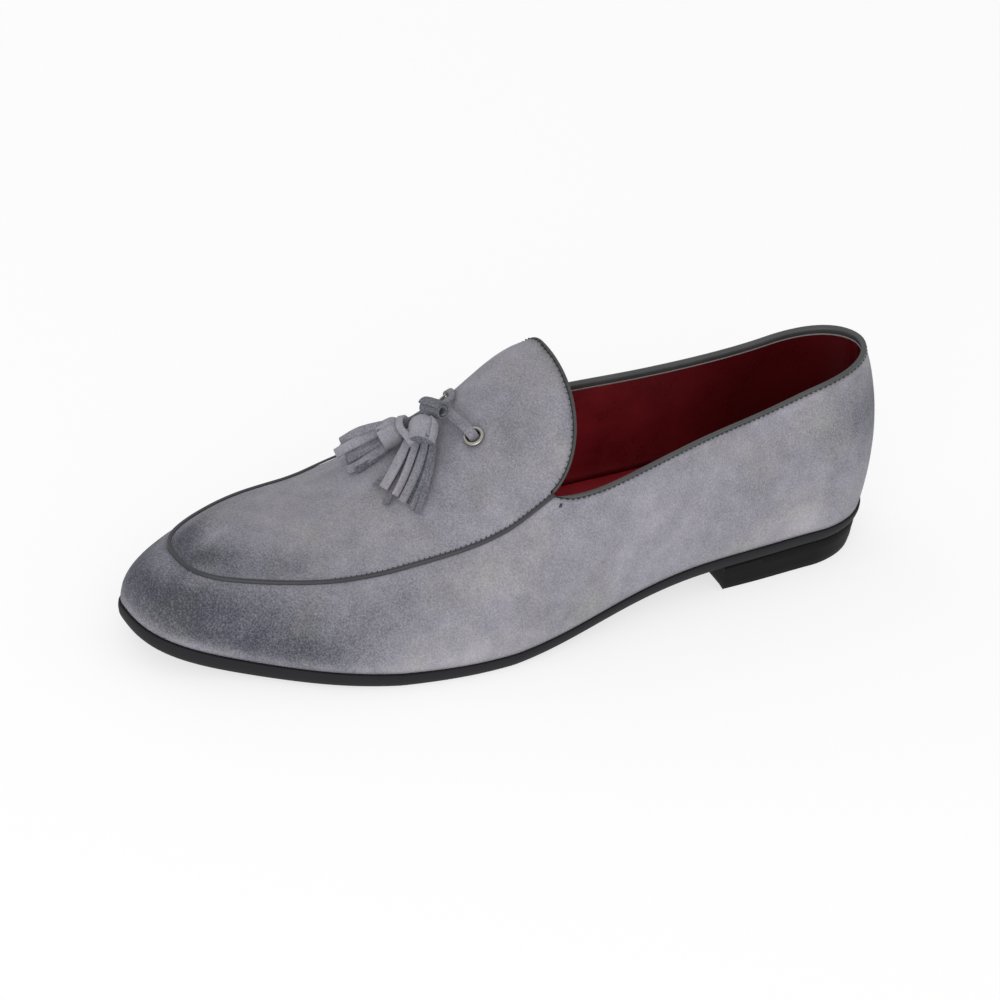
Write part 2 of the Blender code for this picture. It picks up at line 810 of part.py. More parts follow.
def centre_on_origin():
    """Moves everything so that the shoe's bounding box stands centred on the origin."""
    bpy.context.view_layer.update()
    graph = bpy.context.evaluated_depsgraph_get()
    corners = []
    for piece in bpy.context.scene.objects:
        if not piece.hide_render:
            solid = piece.evaluated_get(graph)
            corners += [solid.matrix_world @ corner.co for corner in solid.data.vertices]
    low = [min(corner[axis] for corner in corners) for axis in range(3)]
    high = [max(corner[axis] for corner in corners) for axis in range(3)]
    shift = Vector(((low[0] + high[0]) / -2, (low[1] + high[1]) / -2, -low[2]))
    for piece in bpy.context.scene.objects:
        piece.location += shift


def main():
    for piece in list(bpy.data.objects):
        bpy.data.objects.remove(piece, do_unlink=True)
    make_upper()
    make_apron_piping()
    make_collar_binding()
    make_tongue_binding()
    make_insole()
    make_outsole()
    make_heel()
    make_eyelet("eyelet_outer", OUTER_EYELET)
    make_eyelet("eyelet_inner", INNER_EYELET)
    make_strap()
    make_knot()
    make_tassel("tassel_outer", OUTER, OUTER_HEAD, OUTER_TIPS, OUTER_FAN)
    make_tassel("tassel_inner", INNER, INNER_HEAD, INNER_TIPS, INNER_FAN)
    centre_on_origin()


main()
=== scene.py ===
# Tassel loafer, a left shoe in metres. The toe points to -Y, and +X is the outer side of the foot.
# A station is a share of the shoe's length, 0 at the toe. A level runs up one side of the upper at a station,
# from 0 at the sole to 1 on the crest of the instep.
import random
from bisect import bisect_right
from functools import lru_cache
from math import cos, exp, pi, radians, sin

import bmesh
import bpy
import numpy as np
from mathutils import Matrix, Vector, noise


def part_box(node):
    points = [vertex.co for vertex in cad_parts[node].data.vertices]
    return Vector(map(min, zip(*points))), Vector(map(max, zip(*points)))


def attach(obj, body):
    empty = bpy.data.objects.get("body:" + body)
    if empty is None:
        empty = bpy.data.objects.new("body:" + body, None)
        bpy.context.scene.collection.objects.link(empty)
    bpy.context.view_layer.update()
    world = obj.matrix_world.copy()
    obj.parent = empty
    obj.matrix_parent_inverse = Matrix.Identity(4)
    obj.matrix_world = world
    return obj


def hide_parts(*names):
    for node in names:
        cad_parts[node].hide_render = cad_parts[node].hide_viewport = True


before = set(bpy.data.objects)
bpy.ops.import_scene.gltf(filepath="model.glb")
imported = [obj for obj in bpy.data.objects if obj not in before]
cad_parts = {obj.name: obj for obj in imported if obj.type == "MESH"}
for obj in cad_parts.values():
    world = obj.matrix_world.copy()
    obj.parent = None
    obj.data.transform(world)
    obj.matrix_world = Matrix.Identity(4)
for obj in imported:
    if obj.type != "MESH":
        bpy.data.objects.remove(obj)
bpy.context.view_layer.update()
outer, inner = 1, -1

print("last")
last = {
    "length": 0.300,
    "ballWidth": 0.1035,
    "instepHeight": 0.0835,
    "backHeight": 0.0637,
    "toeSpring": 0.0098,
    "heelHeight": 0.0116,
    "soleThickness": 0.0048,
    "gap": 0.0003,
    "wall": 0.0020,
    "notch": 0.471,
    "toeRound": 0.233,
    "toeFullness": {outer: 3.0, inner: 1.58},
    "heelRound": 0.109,
    "heelFullness": 1.9,
    "toeFan": (0.117, 0.40),
    "heelFan": (0.088, 0.40),
    "normalTop": 0.985,
}


def smooth(stations, values):
    # a natural cubic curve through the values
    steps = np.diff(stations)
    slopes = np.diff(values) / steps
    count = len(stations)
    system = np.eye(count)
    right = np.zeros(count)
    for i in range(1, count - 1):
        system[i, i - 1 : i + 2] = steps[i - 1], 2 * (steps[i - 1] + steps[i]), steps[i]
        right[i] = 6 * (slopes[i] - slopes[i - 1])
    bends = np.linalg.solve(system, right)

    def curve(station):
        i = min(max(bisect_right(stations, station) - 1, 0), count - 2)
        t, step = station - stations[i], steps[i]
        tangent = slopes[i] - step * (2 * bends[i] + bends[i + 1]) / 6
        cubic = t**3 * (bends[i + 1] - bends[i]) / (6 * step)
        return float(values[i] + t * tangent + t * t * bends[i] / 2 + cubic)

    return curve


def curves(names, *rows):
    stations, *columns = zip(*rows)
    return {name: smooth(stations, column) for name, column in zip(names.split(), columns)}


plan = curves(
    "half swing",
    (0.00, 0.344, 0.036),
    (0.10, 0.364, 0.042),
    (0.20, 0.471, 0.021),
    (0.30, 0.520, 0.003),
    (0.38, 0.491, -0.036),
    (0.50, 0.402, -0.074),
    (0.60, 0.356, -0.046),
    (0.70, 0.323, -0.025),
    (0.80, 0.315, -0.008),
    (0.90, 0.286, -0.006),
    (1.00, 0.288, 0.006),
)
bed = curves(
    "toeLift heelLift sole",
    (0.00, 1.00, 0.00, 1.24),
    (0.10, 0.25, 0.00, 1.19),
    (0.20, 0.11, 0.00, 1.13),
    (0.30, -0.03, -0.01, 1.07),
    (0.38, -0.03, -0.03, 1.05),
    (0.44, 0.00, 0.04, 1.05),
    (0.50, 0.00, 0.23, 1.05),
    (0.60, 0.00, 0.59, 1.05),
    (0.70, 0.00, 0.84, 1.05),
    (0.80, 0.00, 0.95, 1.05),
    (1.00, 0.00, 1.00, 0.97),
)
crest = curves(
    "height inward",
    (0.06, 0.276, 0.029),
    (0.14, 0.406, 0.036),
    (0.24, 0.435, 0.030),
    (0.34, 0.620, 0.031),
    (0.42, 0.809, 0.040),
    (0.50, 1.000, 0.085),
    (0.60, 0.928, 0.022),
    (0.72, 0.888, 0.005),
    (0.90, 0.953, 0.005),
)
sides = curves(
    "lean wall crown",
    (0.00, 0.098, 0.685, 0.584),
    (0.15, 0.142, 0.595, 0.584),
    (0.35, 0.117, 0.470, 0.500),
    (0.50, 0.095, 0.499, 0.640),
    (0.65, 0.142, 0.550, 0.568),
    (0.80, 0.112, 0.435, 0.425),
    (1.00, 0.150, 0.575, 0.547),
)
collarShare = smooth(
    (0.46, 0.52, 0.60, 0.70, 0.80, 0.90, 1.00),
    (0.819, 0.786, 0.774, 0.786, 0.822, 0.910, 1.000),
)
seamRows = ((0.00, 0.679), (0.06, 0.568), (0.14, 0.534), (0.24, 0.560), (0.34, 0.506))


def rounded(distance, length, fullness):
    inside = min(max(1 - distance / length, 0.0), 1.0)
    return (1 - inside**fullness) ** (1 / fullness)


@lru_cache(maxsize=None)
def ground(station):
    # height of the sole's underside
    toe = last["toeSpring"] * bed["toeLift"](station)
    return max(0.0, toe + last["heelHeight"] * bed["heelLift"](station))


@lru_cache(maxsize=None)
def soleTop(station):
    return ground(station) + last["soleThickness"] * bed["sole"](station)


@lru_cache(maxsize=None)
def rawSoleLine(station, side):
    # where the upper meets the sole, seen from above
    ends = rounded(station, last["toeRound"], last["toeFullness"][side])
    ends *= rounded(1 - station, last["heelRound"], last["heelFullness"])
    across = -plan["swing"](station) + side * plan["half"](station) * ends
    return Vector((last["ballWidth"] * across, last["length"] * (station - 0.5)))


def outlineFrom(line, station, side, out):
    step = 1e-4
    if step < station < 1 - step:
        along = line(station + step, side) - line(station - step, side)
        outward = side * Vector((along.y, -along.x)).normalized()
    else:
        outward = Vector((0.0, -1.0 if station < 0.5 else 1.0))
    return line(station, side) + out * outward


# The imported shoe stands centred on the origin, so its sole gives the shift from the last's own middle.
soleEdge = 0.0008
widest = max(outlineFrom(rawSoleLine, k / 400, outer, soleEdge).x for k in range(401))
lowCorner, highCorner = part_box("outsole")
shift = Vector((highCorner[0] - widest, lowCorner[1] + last["length"] / 2 + soleEdge, 0.0))


def soleLine(station, side):
    return rawSoleLine(station, side) + shift.to_2d()


def outline(station, side, out, height):
    place = outlineFrom(soleLine, station, side, out)
    return Vector((place.x, place.y, height))


def crestHeight(station):
    return soleTop(station) + last["instepHeight"] * crest["height"](station)


@lru_cache(maxsize=None)
def crestOf(station):
    toePole, toeEnd = last["toeFan"]
    heelPole, heelEnd = last["heelFan"]
    reached = station + toePole * max(1 - station / toeEnd, 0.0) ** 3
    reached -= heelPole * max(1 - (1 - station) / heelEnd, 0.0) ** 3
    step = 1e-3
    slope = (crestHeight(reached + step) - crestHeight(reached - step)) / (2 * step * last["length"])
    across = -last["ballWidth"] * crest["inward"](reached)
    return Vector((across, last["length"] * (reached - 0.5), crestHeight(reached))) + shift, slope


@lru_cache(maxsize=None)
def section(station, side):
    # the four control points of the upper's curve from the sole to the crest
    start = soleLine(station, side).to_3d()
    start.z = soleTop(station) + last["gap"]
    end, slope = crestOf(station)
    reach = (start - end).to_2d()
    away = reach.normalized()
    rise = end.z - start.z
    lean = sides["lean"](station)
    wall = start + Vector((away.x * lean, away.y * lean, 1.0)) * rise * sides["wall"](station)
    crown = end + Vector((away.x, away.y, slope * away.y)) * reach.length * sides["crown"](station)
    return start, wall, crown, end


def skin(station, side, level):
    # a point on the upper's outer surface
    start, wall, crown, end = section(station, side)
    rest = 1 - level
    return rest**3 * start + 3 * rest**2 * level * wall + 3 * rest * level**2 * crown + level**3 * end


def outwardAt(station, side, level):
    step = 1e-3
    level = min(level, last["normalTop"])  # nearer to the crest, this level's normal is used
    along = skin(min(station + step, 1.0), side, level) - skin(max(station - step, 0.0), side, level)
    up = skin(station, side, level + step) - skin(station, side, level - step)
    return (along.cross(up) * side).normalized()


def lifted(station, side, level, height):
    return skin(station, side, level) + outwardAt(station, side, level) * height


@lru_cache(maxsize=None)
def collarLevel(station, side, drop):
    # level of the line that runs this far below the collar's edge
    height = soleTop(station) + last["backHeight"] * collarShare(station) - drop
    low, high = 0.0, 1.0
    for _ in range(26):
        middle = (low + high) / 2
        if skin(station, side, middle).z < height:
            low = middle
        else:
            high = middle
    return low


notch = last["notch"]
notchLevel = {side: collarLevel(notch, side, 0.0) for side in (outer, inner)}
seamLevel = {side: smooth(*zip(*seamRows, (notch, notchLevel[side]))) for side in (outer, inner)}
tongue = {
    "reach": 0.0174,
    "swell": 0.60,
    "binding": 0.0016,
    "start": 0.00075,
    "pitch": 0.0016,
    "stitchPitch": 0.0024,
    "stitchInset": 0.0019,
    "stitchAim": 0.0008,
    "stitch": (0.00075, 0.00024, 0.00032),
}


def tongueArc(side):
    count = 20
    start = notchLevel[side]
    points = [skin(notch, side, start + (1 - start) * k / count) for k in range(count + 1)]
    return sum((after - before).length for before, after in zip(points, points[1:]))


tongueArcs = {side: tongueArc(side) for side in (outer, inner)}


def tongueEdge(side, turn, inset):
    # station and level on the tongue's rounded edge, drawn in by a distance; the turn is 0 at the notch
    reach = (tongue["reach"] - inset) / last["length"]
    height = (1 - notchLevel[side]) * (1 - inset / tongueArcs[side])
    return notch + reach * sin(turn), 1 - height * max(cos(turn), 0.0) ** tongue["swell"]


def evenly(placeOf, pitch, start=0.0, end=1.0, samples=1500):
    # values between start and end whose places lie a pitch apart
    values = [start + (end - start) * k / samples for k in range(samples + 1)]
    points = [placeOf(value) for value in values]
    lengths = np.concatenate([[0], np.cumsum([(b - a).length for a, b in zip(points, points[1:])])])
    count = max(1, round(lengths[-1] / pitch))
    return [float(v) for v in np.interp(np.linspace(0, lengths[-1], count + 1), lengths, values)]


def crowded(share):
    # stations from 0 to 1 for shares from 0 to 1, slow at both rounded ends
    return 0.5 * (2 * share) ** 3 if share < 0.5 else 1 - 0.5 * (2 - 2 * share) ** 2


def stationsOf(side, pitch, level=0.3):
    shares = evenly(lambda share: skin(crowded(share), side, level), pitch)
    return [crowded(share) for share in shares]


print("camera")
camera = {
    "azimuth": 57.980,
    "elevation": 30.477,
    "roll": 7.692,
    "distance": 1.1998,
    "lens": 119.64,
    "target": (0.0, -0.005559, 0.034052),
}


def makeCamera():
    turn, tilt, roll = (radians(camera[name]) for name in ("azimuth", "elevation", "roll"))
    back = Vector((sin(turn) * cos(tilt), -cos(turn) * cos(tilt), sin(tilt)))
    level = Vector((cos(turn), sin(turn), 0.0))
    up = back.cross(level)
    right = cos(roll) * level + sin(roll) * up
    turned = Matrix((right, back.cross(right), back)).transposed().to_4x4()
    turned.translation = Vector(camera["target"]) + shift + back * camera["distance"]
    data = bpy.data.cameras.new("camera")
    data.sensor_fit = "HORIZONTAL"
    data.sensor_width = 36
    data.lens = camera["lens"]
    seen = bpy.data.objects.new("camera", data)
    bpy.context.scene.collection.objects.link(seen)
    seen.matrix_world = turned
    bpy.context.scene.camera = seen


makeCamera()

print("materials")
# The nap's stops go from slate to pale, in cool and in warm patches. A noise has its scale, detail and
# roughness.
finishes = {
    "coolStops": (
        (0.0, (0.060, 0.064, 0.084)),
        (0.35, (0.175, 0.174, 0.206)),
        (0.65, (0.315, 0.303, 0.346)),
        (1.0, (0.500, 0.482, 0.530)),
    ),
    "warmStops": (
        (0.0, (0.068, 0.071, 0.080)),
        (0.35, (0.188, 0.188, 0.200)),
        (0.65, (0.325, 0.318, 0.332)),
        (1.0, (0.505, 0.492, 0.505)),
    ),
    "warmFrom": 0.46,
    "warmTo": 0.68,
    "napNoise": (1500, 3, 0.75),
    "mottleNoise": (130, 5, 0.62),
    "warmNoise": (38, 3, 0.5),
    "speckle": 1.0,
    "darkSpeckle": 1.75,
    "speckleFade": 1.25,
    "mottle": 0.40,
    "mottleHeight": 0.6,
    "napDepth": 0.0003,
    "driftNoise": (60, 4, 0.6),
    "roughnessWander": 0.3,
    "grainDepth": 0.0002,
    "coat": {"Coat Weight": 0.35, "Coat Roughness": 0.22},
}


def addNode(tree, kind, inputs=(), **settings):
    made = tree.nodes.new(kind)
    for name, value in settings.items():
        setattr(made, name, value)
    for name, value in dict(inputs).items():
        made.inputs[name].default_value = value
    return made


def groupTree(name, inputs, outputs):
    tree = bpy.data.node_groups.new(name, "ShaderNodeTree")
    for title, kind, value in inputs:
        socket = tree.interface.new_socket(title, in_out="INPUT", socket_type=kind)
        socket.default_value = value
    for title, kind in outputs:
        tree.interface.new_socket(title, in_out="OUTPUT", socket_type=kind)
    return tree, addNode(tree, "NodeGroupInput"), addNode(tree, "NodeGroupOutput")


def fillRamp(node, stops):
    ramp = node.color_ramp
    while len(ramp.elements) < len(stops):
        ramp.elements.new(0.5)
    for element, (place, colour) in zip(ramp.elements, stops):
        element.position = place
        element.color = (*colour, 1.0)


def calculate(tree, operation, first, second):
    node = addNode(tree, "ShaderNodeMath", operation=operation)
    for socket, value in zip(node.inputs, (first, second)):
        if isinstance(value, (int, float)):
            socket.default_value = value
        else:
            tree.links.new(value, socket)
    return node.outputs[0]


def mixColours(tree, factor, first, second):
    node = addNode(tree, "ShaderNodeMix", data_type="RGBA")
    for socket, value in zip((node.inputs[0], node.inputs[6], node.inputs[7]), (factor, first, second)):
        if isinstance(value, tuple):
            socket.default_value = value
        else:
            tree.links.new(value, socket)
    return node.outputs[2]


def addNoise(tree, place, scale, detail, rough):
    made = addNode(tree, "ShaderNodeTexNoise", {"Scale": scale, "Detail": detail, "Roughness": rough})
    tree.links.new(place, made.inputs["Vector"])
    return made.outputs["Fac"]


def makeNap():
    # clouded suede: the shade goes from slate at 0 to pale at 1, with a fine speckle and a short nap
    tree, given, out = groupTree(
        "suedeNap",
        (
            ("Shade", "NodeSocketFloat", 0.6),
            ("Speckle", "NodeSocketFloat", finishes["speckle"]),
            ("Mottle", "NodeSocketFloat", finishes["mottle"]),
        ),
        (("Color", "NodeSocketColor"), ("Height", "NodeSocketFloat")),
    )
    place = addNode(tree, "ShaderNodeTexCoord").outputs["Object"]
    fine, middle, wide = (
        addNoise(tree, place, *finishes[name]) for name in ("napNoise", "mottleNoise", "warmNoise")
    )
    # dark nap is rougher than pale nap, so its speckle is stronger
    fade = calculate(tree, "MULTIPLY", given.outputs["Shade"], finishes["speckleFade"])
    depth = calculate(tree, "SUBTRACT", finishes["darkSpeckle"], fade)
    speckle = calculate(tree, "MULTIPLY", calculate(tree, "SUBTRACT", fine, 0.5), given.outputs["Speckle"])
    speckle = calculate(tree, "MULTIPLY", speckle, depth)
    mottle = calculate(tree, "MULTIPLY", calculate(tree, "SUBTRACT", middle, 0.5), given.outputs["Mottle"])
    shade = calculate(tree, "ADD", given.outputs["Shade"], calculate(tree, "ADD", speckle, mottle))
    ramps = []
    for stops in (finishes["coolStops"], finishes["warmStops"]):
        ramp = addNode(tree, "ShaderNodeValToRGB")
        fillRamp(ramp, stops)
        tree.links.new(shade, ramp.inputs["Fac"])
        ramps.append(ramp.outputs["Color"])
    limits = {"From Min": finishes["warmFrom"], "From Max": finishes["warmTo"]}
    warmth = addNode(tree, "ShaderNodeMapRange", limits)
    tree.links.new(wide, warmth.inputs["Value"])
    tree.links.new(mixColours(tree, warmth.outputs[0], *ramps), out.inputs["Color"])
    relief = calculate(tree, "MULTIPLY", middle, finishes["mottleHeight"])
    tree.links.new(calculate(tree, "ADD", fine, relief), out.inputs["Height"])
    return tree


def makeGrain():
    # smooth leather: a fine pebble, and a colour that wanders between two tones
    tree, given, out = groupTree(
        "leatherGrain",
        (
            ("Dark", "NodeSocketColor", (0.1, 0.1, 0.1, 1.0)),
            ("Light", "NodeSocketColor", (0.2, 0.2, 0.2, 1.0)),
            ("Scale", "NodeSocketFloat", 900.0),
            ("Roughness", "NodeSocketFloat", 0.5),
        ),
        (("Color", "NodeSocketColor"), ("Roughness", "NodeSocketFloat"), ("Height", "NodeSocketFloat")),
    )
    place = addNode(tree, "ShaderNodeTexCoord").outputs["Object"]
    pebble = addNode(tree, "ShaderNodeTexVoronoi", feature="SMOOTH_F1")
    tree.links.new(place, pebble.inputs["Vector"])
    tree.links.new(given.outputs["Scale"], pebble.inputs["Scale"])
    drift = addNoise(tree, place, *finishes["driftNoise"])
    mixed = mixColours(tree, drift, given.outputs["Dark"], given.outputs["Light"])
    tree.links.new(mixed, out.inputs["Color"])
    wander = calculate(
        tree, "MULTIPLY", calculate(tree, "SUBTRACT", drift, 0.5), finishes["roughnessWander"]
    )
    tree.links.new(calculate(tree, "ADD", given.outputs["Roughness"], wander), out.inputs["Roughness"])
    tree.links.new(pebble.outputs["Distance"], out.inputs["Height"])
    return tree


napTree, grainTree = makeNap(), makeGrain()


def newMaterial(name, constants):
    made = bpy.data.materials.new(name)
    made.use_nodes = True
    tree = made.node_tree
    shader = tree.nodes["Principled BSDF"]
    for title, value in constants.items():
        shader.inputs[title].default_value = value
    return made, tree, shader


def addBump(tree, shader, height, strength, distance):
    bump = addNode(tree, "ShaderNodeBump", {"Strength": strength, "Distance": distance})
    tree.links.new(height, bump.inputs["Height"])
    tree.links.new(bump.outputs["Normal"], shader.inputs["Normal"])


def suedeMaterial(name, shade, bump=0.5):
    # without a shade of its own, the nap takes the one that is painted on the piece
    made, tree, shader = newMaterial(
        name, {"Roughness": 0.95, "Specular IOR Level": 0.15, "Sheen Weight": 0.12, "Sheen Roughness": 0.6}
    )
    nap = addNode(tree, "ShaderNodeGroup", node_tree=napTree)
    if shade is None:
        painted = addNode(tree, "ShaderNodeAttribute", attribute_name="shade")
        tree.links.new(painted.outputs["Fac"], nap.inputs["Shade"])
    else:
        nap.inputs["Shade"].default_value = shade
    tree.links.new(nap.outputs["Color"], shader.inputs["Base Color"])
    addBump(tree, shader, nap.outputs["Height"], bump, finishes["napDepth"])
    return made


def leatherMaterial(name, dark, light, roughness, scale, bump, constants=()):
    made, tree, shader = newMaterial(name, dict(constants))
    grain = addNode(tree, "ShaderNodeGroup", node_tree=grainTree)
    grain.inputs["Dark"].default_value = (*dark, 1.0)
    grain.inputs["Light"].default_value = (*light, 1.0)
    grain.inputs["Scale"].default_value = scale
    grain.inputs["Roughness"].default_value = roughness
    tree.links.new(grain.outputs["Color"], shader.inputs["Base Color"])
    tree.links.new(grain.outputs["Roughness"], shader.inputs["Roughness"])
    addBump(tree, shader, grain.outputs["Height"], bump, finishes["grainDepth"])
    return made


def paintLight(material, dark, light):
    # the leather's light tone follows the painted light and shade on the piece
    tree = material.node_tree
    painted = addNode(tree, "ShaderNodeAttribute", attribute_name="shade")
    mixed = mixColours(tree, painted.outputs["Fac"], (*dark, 1.0), (*light, 1.0))
    tree.links.new(mixed, tree.nodes["Group"].inputs["Light"])


suede = suedeMaterial("cloudedSuede", None)
tasselSuede = suedeMaterial("tasselSuede", 0.68, 0.8)
fringeSuede = suedeMaterial("fringeSuede", None, 0.8)
strapSuede = suedeMaterial("strapSuede", 0.50, 0.6)
knotSuede = suedeMaterial("knotSuede", 0.30, 0.8)
bindingLeather = leatherMaterial(
    "bindingLeather", (0.040, 0.042, 0.043), (0.085, 0.088, 0.088), 0.55, 1400, 0.25
)
collarLeather = leatherMaterial(
    "collarLeather", (0.048, 0.050, 0.051), (0.100, 0.102, 0.101), 0.50, 1400, 0.25
)
cordLeather = leatherMaterial("cordLeather", (0.220, 0.220, 0.215), (0.320, 0.315, 0.305), 0.55, 1400, 0.2)
seamLeather = leatherMaterial("seamLeather", (0.026, 0.027, 0.033), (0.062, 0.063, 0.072), 0.50, 1600, 0.25)
threadDark = leatherMaterial("darkThread", (0.025, 0.025, 0.028), (0.050, 0.050, 0.055), 0.7, 3000, 0.3)
liningLeather = leatherMaterial(
    "liningLeather", (0.070, 0.0030, 0.0045), (0.200, 0.0085, 0.0130), 0.30, 900, 0.12, finishes["coat"]
)
# painted sheen and shade: the lining's light tone runs from dark red in the shade to a bright red sheen
paintLight(liningLeather, (0.060, 0.0030, 0.0042), (0.600, 0.0400, 0.0540))
# the sock lining is the lining's red leather painted lighter, as a sheen on the bottom of the shoe by the
# notch
sockLeather = leatherMaterial(
    "sockLeather", (0.260, 0.0130, 0.0190), (0.540, 0.0290, 0.0430), 0.32, 900, 0.12, finishes["coat"]
)
soleLeather = leatherMaterial(
    "soleLeather", (0.0150, 0.0146, 0.0165), (0.0260, 0.0254, 0.0285), 0.62, 700, 0.10,
    {"Specular IOR Level": 0.12},
)
heelRubber = leatherMaterial(
    "heelRubber", (0.0070, 0.0070, 0.0076), (0.0120, 0.0120, 0.0130), 0.65, 700, 0.08,
    {"Specular IOR Level": 0.08},
)
# painted shade for the insides of the eyelet holes
holeShadow = leatherMaterial("holeShadow", (0.010, 0.009, 0.009), (0.020, 0.018, 0.018), 0.8, 1200, 0.1)
nickel = leatherMaterial(
    "nickel", (0.40, 0.38, 0.34), (0.60, 0.575, 0.53), 0.26, 1500, 0.05, {"Metallic": 1.0}
)


def addGrid(made, columns, rows, place):
    corners = bmesh.ops.create_grid(made, x_segments=columns, y_segments=rows, size=1.0)["verts"]
    for corner in corners:
        column, row = (round((value + 1) / 2 * count) for value, count in zip(corner.co, (columns, rows)))
        corner.co = place(column, row)
    return corners


def weld(made, corners, distance=1e-6):
    bmesh.ops.remove_doubles(made, verts=corners, dist=distance)


def addLoft(made, sections, ring, place):
    # a closed solid through rings of points
    corners = addGrid(made, sections - 1, ring, lambda column, row: place(column, row % ring))
    weld(made, corners)
    bmesh.ops.holes_fill(made, edges=[edge for edge in made.edges if edge.is_boundary], sides=0)


def finishPiece(made, name, material, slotName, *nodes, sharp=40):
    bmesh.ops.recalc_face_normals(made, faces=made.faces)
    mesh = bpy.data.meshes.new(name)
    made.to_mesh(mesh)
    made.free()
    mesh.materials.append(material)
    mesh.shade_smooth()
    if sharp:
        mesh.set_sharp_from_angle(angle=radians(sharp))
    piece = bpy.data.objects.new(name, mesh)
    bpy.context.scene.collection.objects.link(piece)
    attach(piece, "root")
    if nodes:
        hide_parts(*nodes)
    print(name, len(mesh.polygons), "faces")
    return piece


def thickenPiece(piece, thickness):
    wall = piece.modifiers.new("wall", "SOLIDIFY")
    wall.thickness = thickness
    wall.offset = -1


def smoothPath(knots, count):
    # evenly spaced points on a smooth curve through the knots
    lengths = [0.0]
    for before, after in zip(knots, knots[1:]):
        lengths.append(lengths[-1] + (after - before).length)
    axes = [smooth(lengths, [knot[axis] for knot in knots]) for axis in range(3)]
    return [Vector([axis(lengths[-1] * k / (count - 1)) for axis in axes]) for k in range(count)]


def directionAt(points, i):
    return (points[min(i + 1, len(points) - 1)] - points[max(i - 1, 0)]).normalized()


def framesAlong(points, ups):
    frames = []
    for i, point in enumerate(points):
        along = directionAt(points, i)
        across = along.cross(ups[i]).normalized()
        frames.append((point, across, across.cross(along)))
    return frames


def addBand(made, frames, width, thickness, swell=None):
    # a flat band with rounded edges along a row of frames
    ring = [(0.82, 1), (1, 0.5), (1, -0.5), (0.82, -1), (-0.82, -1), (-1, -0.5), (-1, 0.5), (-0.82, 1)]

    def place(i, k):
        centre, across, up = frames[i]
        wide = swell(i / (len(frames) - 1)) if swell else 1.0
        right, above = ring[k]
        return centre + across * (width / 2 * right * wide) + up * (thickness / 2 * above)

    addLoft(made, len(frames), len(ring), place)


print("thong")
eyelets = {
    "outer": (0.414, outer, 0.856),
    "inner": (0.434, inner, 0.690),
    "radius": 0.0038,
    "hole": 0.0024,
    "tube": 0.0003,
    "seat": 0.00045,
    "flange": 0.0007,
    "lip": 0.0004,
    "clearance": 0.0003,
    "liningClearance": 0.0013,
    "behind": 0.0006,
    "washer": 0.85,
    "cup": 0.0010,
}
thong = {
    "width": 0.0038,
    "thickness": 0.0013,
    "depth": 0.0030,
    "sections": 70,
    "ends": 12,
    "face": (0.412, outer, 0.96),
    "folded": 0.45,
    "foldStart": 0.36,
    "foldLength": 0.10,
}
# Places on the way from the outer to the inner eyelet: station, side, level and height.
thongPlaces = (
    (0.4132, outer, 0.876, 0.0021),
    (0.4098, outer, 0.942, 0.0030),
    (0.4120, inner, 0.935, 0.0036),
    (0.4210, inner, 0.895, 0.0017),
    (0.4290, inner, 0.835, 0.0013),
    (0.4330, inner, 0.765, 0.0013),
    (0.4340, inner, 0.720, 0.0012),
)


def thongWidthAt(t):
    # the run beyond the crest is folded in
    return 1 - thong["folded"] * min(max((t - thong["foldStart"]) / thong["foldLength"], 0.0), 1.0)


def makeThong():
    start = [(*eyelets["outer"], height) for height in (-thong["depth"], 0.0)]
    end = [(*eyelets["inner"], height) for height in (0.0, -thong["depth"])]
    points = smoothPath([lifted(*place) for place in (*start, *thongPlaces, *end)], thong["sections"])
    # the band lies flat on the instep, and keeps its turn where it goes down into the holes
    run = (points[-thong["ends"]] - points[thong["ends"]]).normalized()
    flat = run.cross(outwardAt(*thong["face"])).normalized()
    frames = []
    for i, point in enumerate(points):
        along = directionAt(points, i)
        across = (flat - along * flat.dot(along)).normalized()
        frames.append((point, across, across.cross(along)))
    made = bmesh.new()
    addBand(made, frames, thong["width"], thong["thickness"], thongWidthAt)
    return finishPiece(made, "tasselThong", strapSuede, "tassel_suede", "tassel_strap", sharp=60), points


thongPiece, thongPoints = makeThong()

print("knot and tassels")
knot = {
    "radius": 0.0031,
    "ends": ((0.3954, inner, 0.903, 0.0066), (0.4035, outer, 0.984, 0.0064)),
}
# A rolled strip has its turns, faces round and lengthwise, first angle, loss of radius in a turn, and the
# share by which it gets shorter.
knotRoll = {"turns": 1.7, "around": 44, "lengthwise": 8, "from": 0.6, "layer": 0.0011, "drawnIn": 0.06}
headRoll = {"turns": 1.35, "around": 56, "lengthwise": 12, "from": 2.2, "layer": 0.0010, "drawnIn": 0.0}
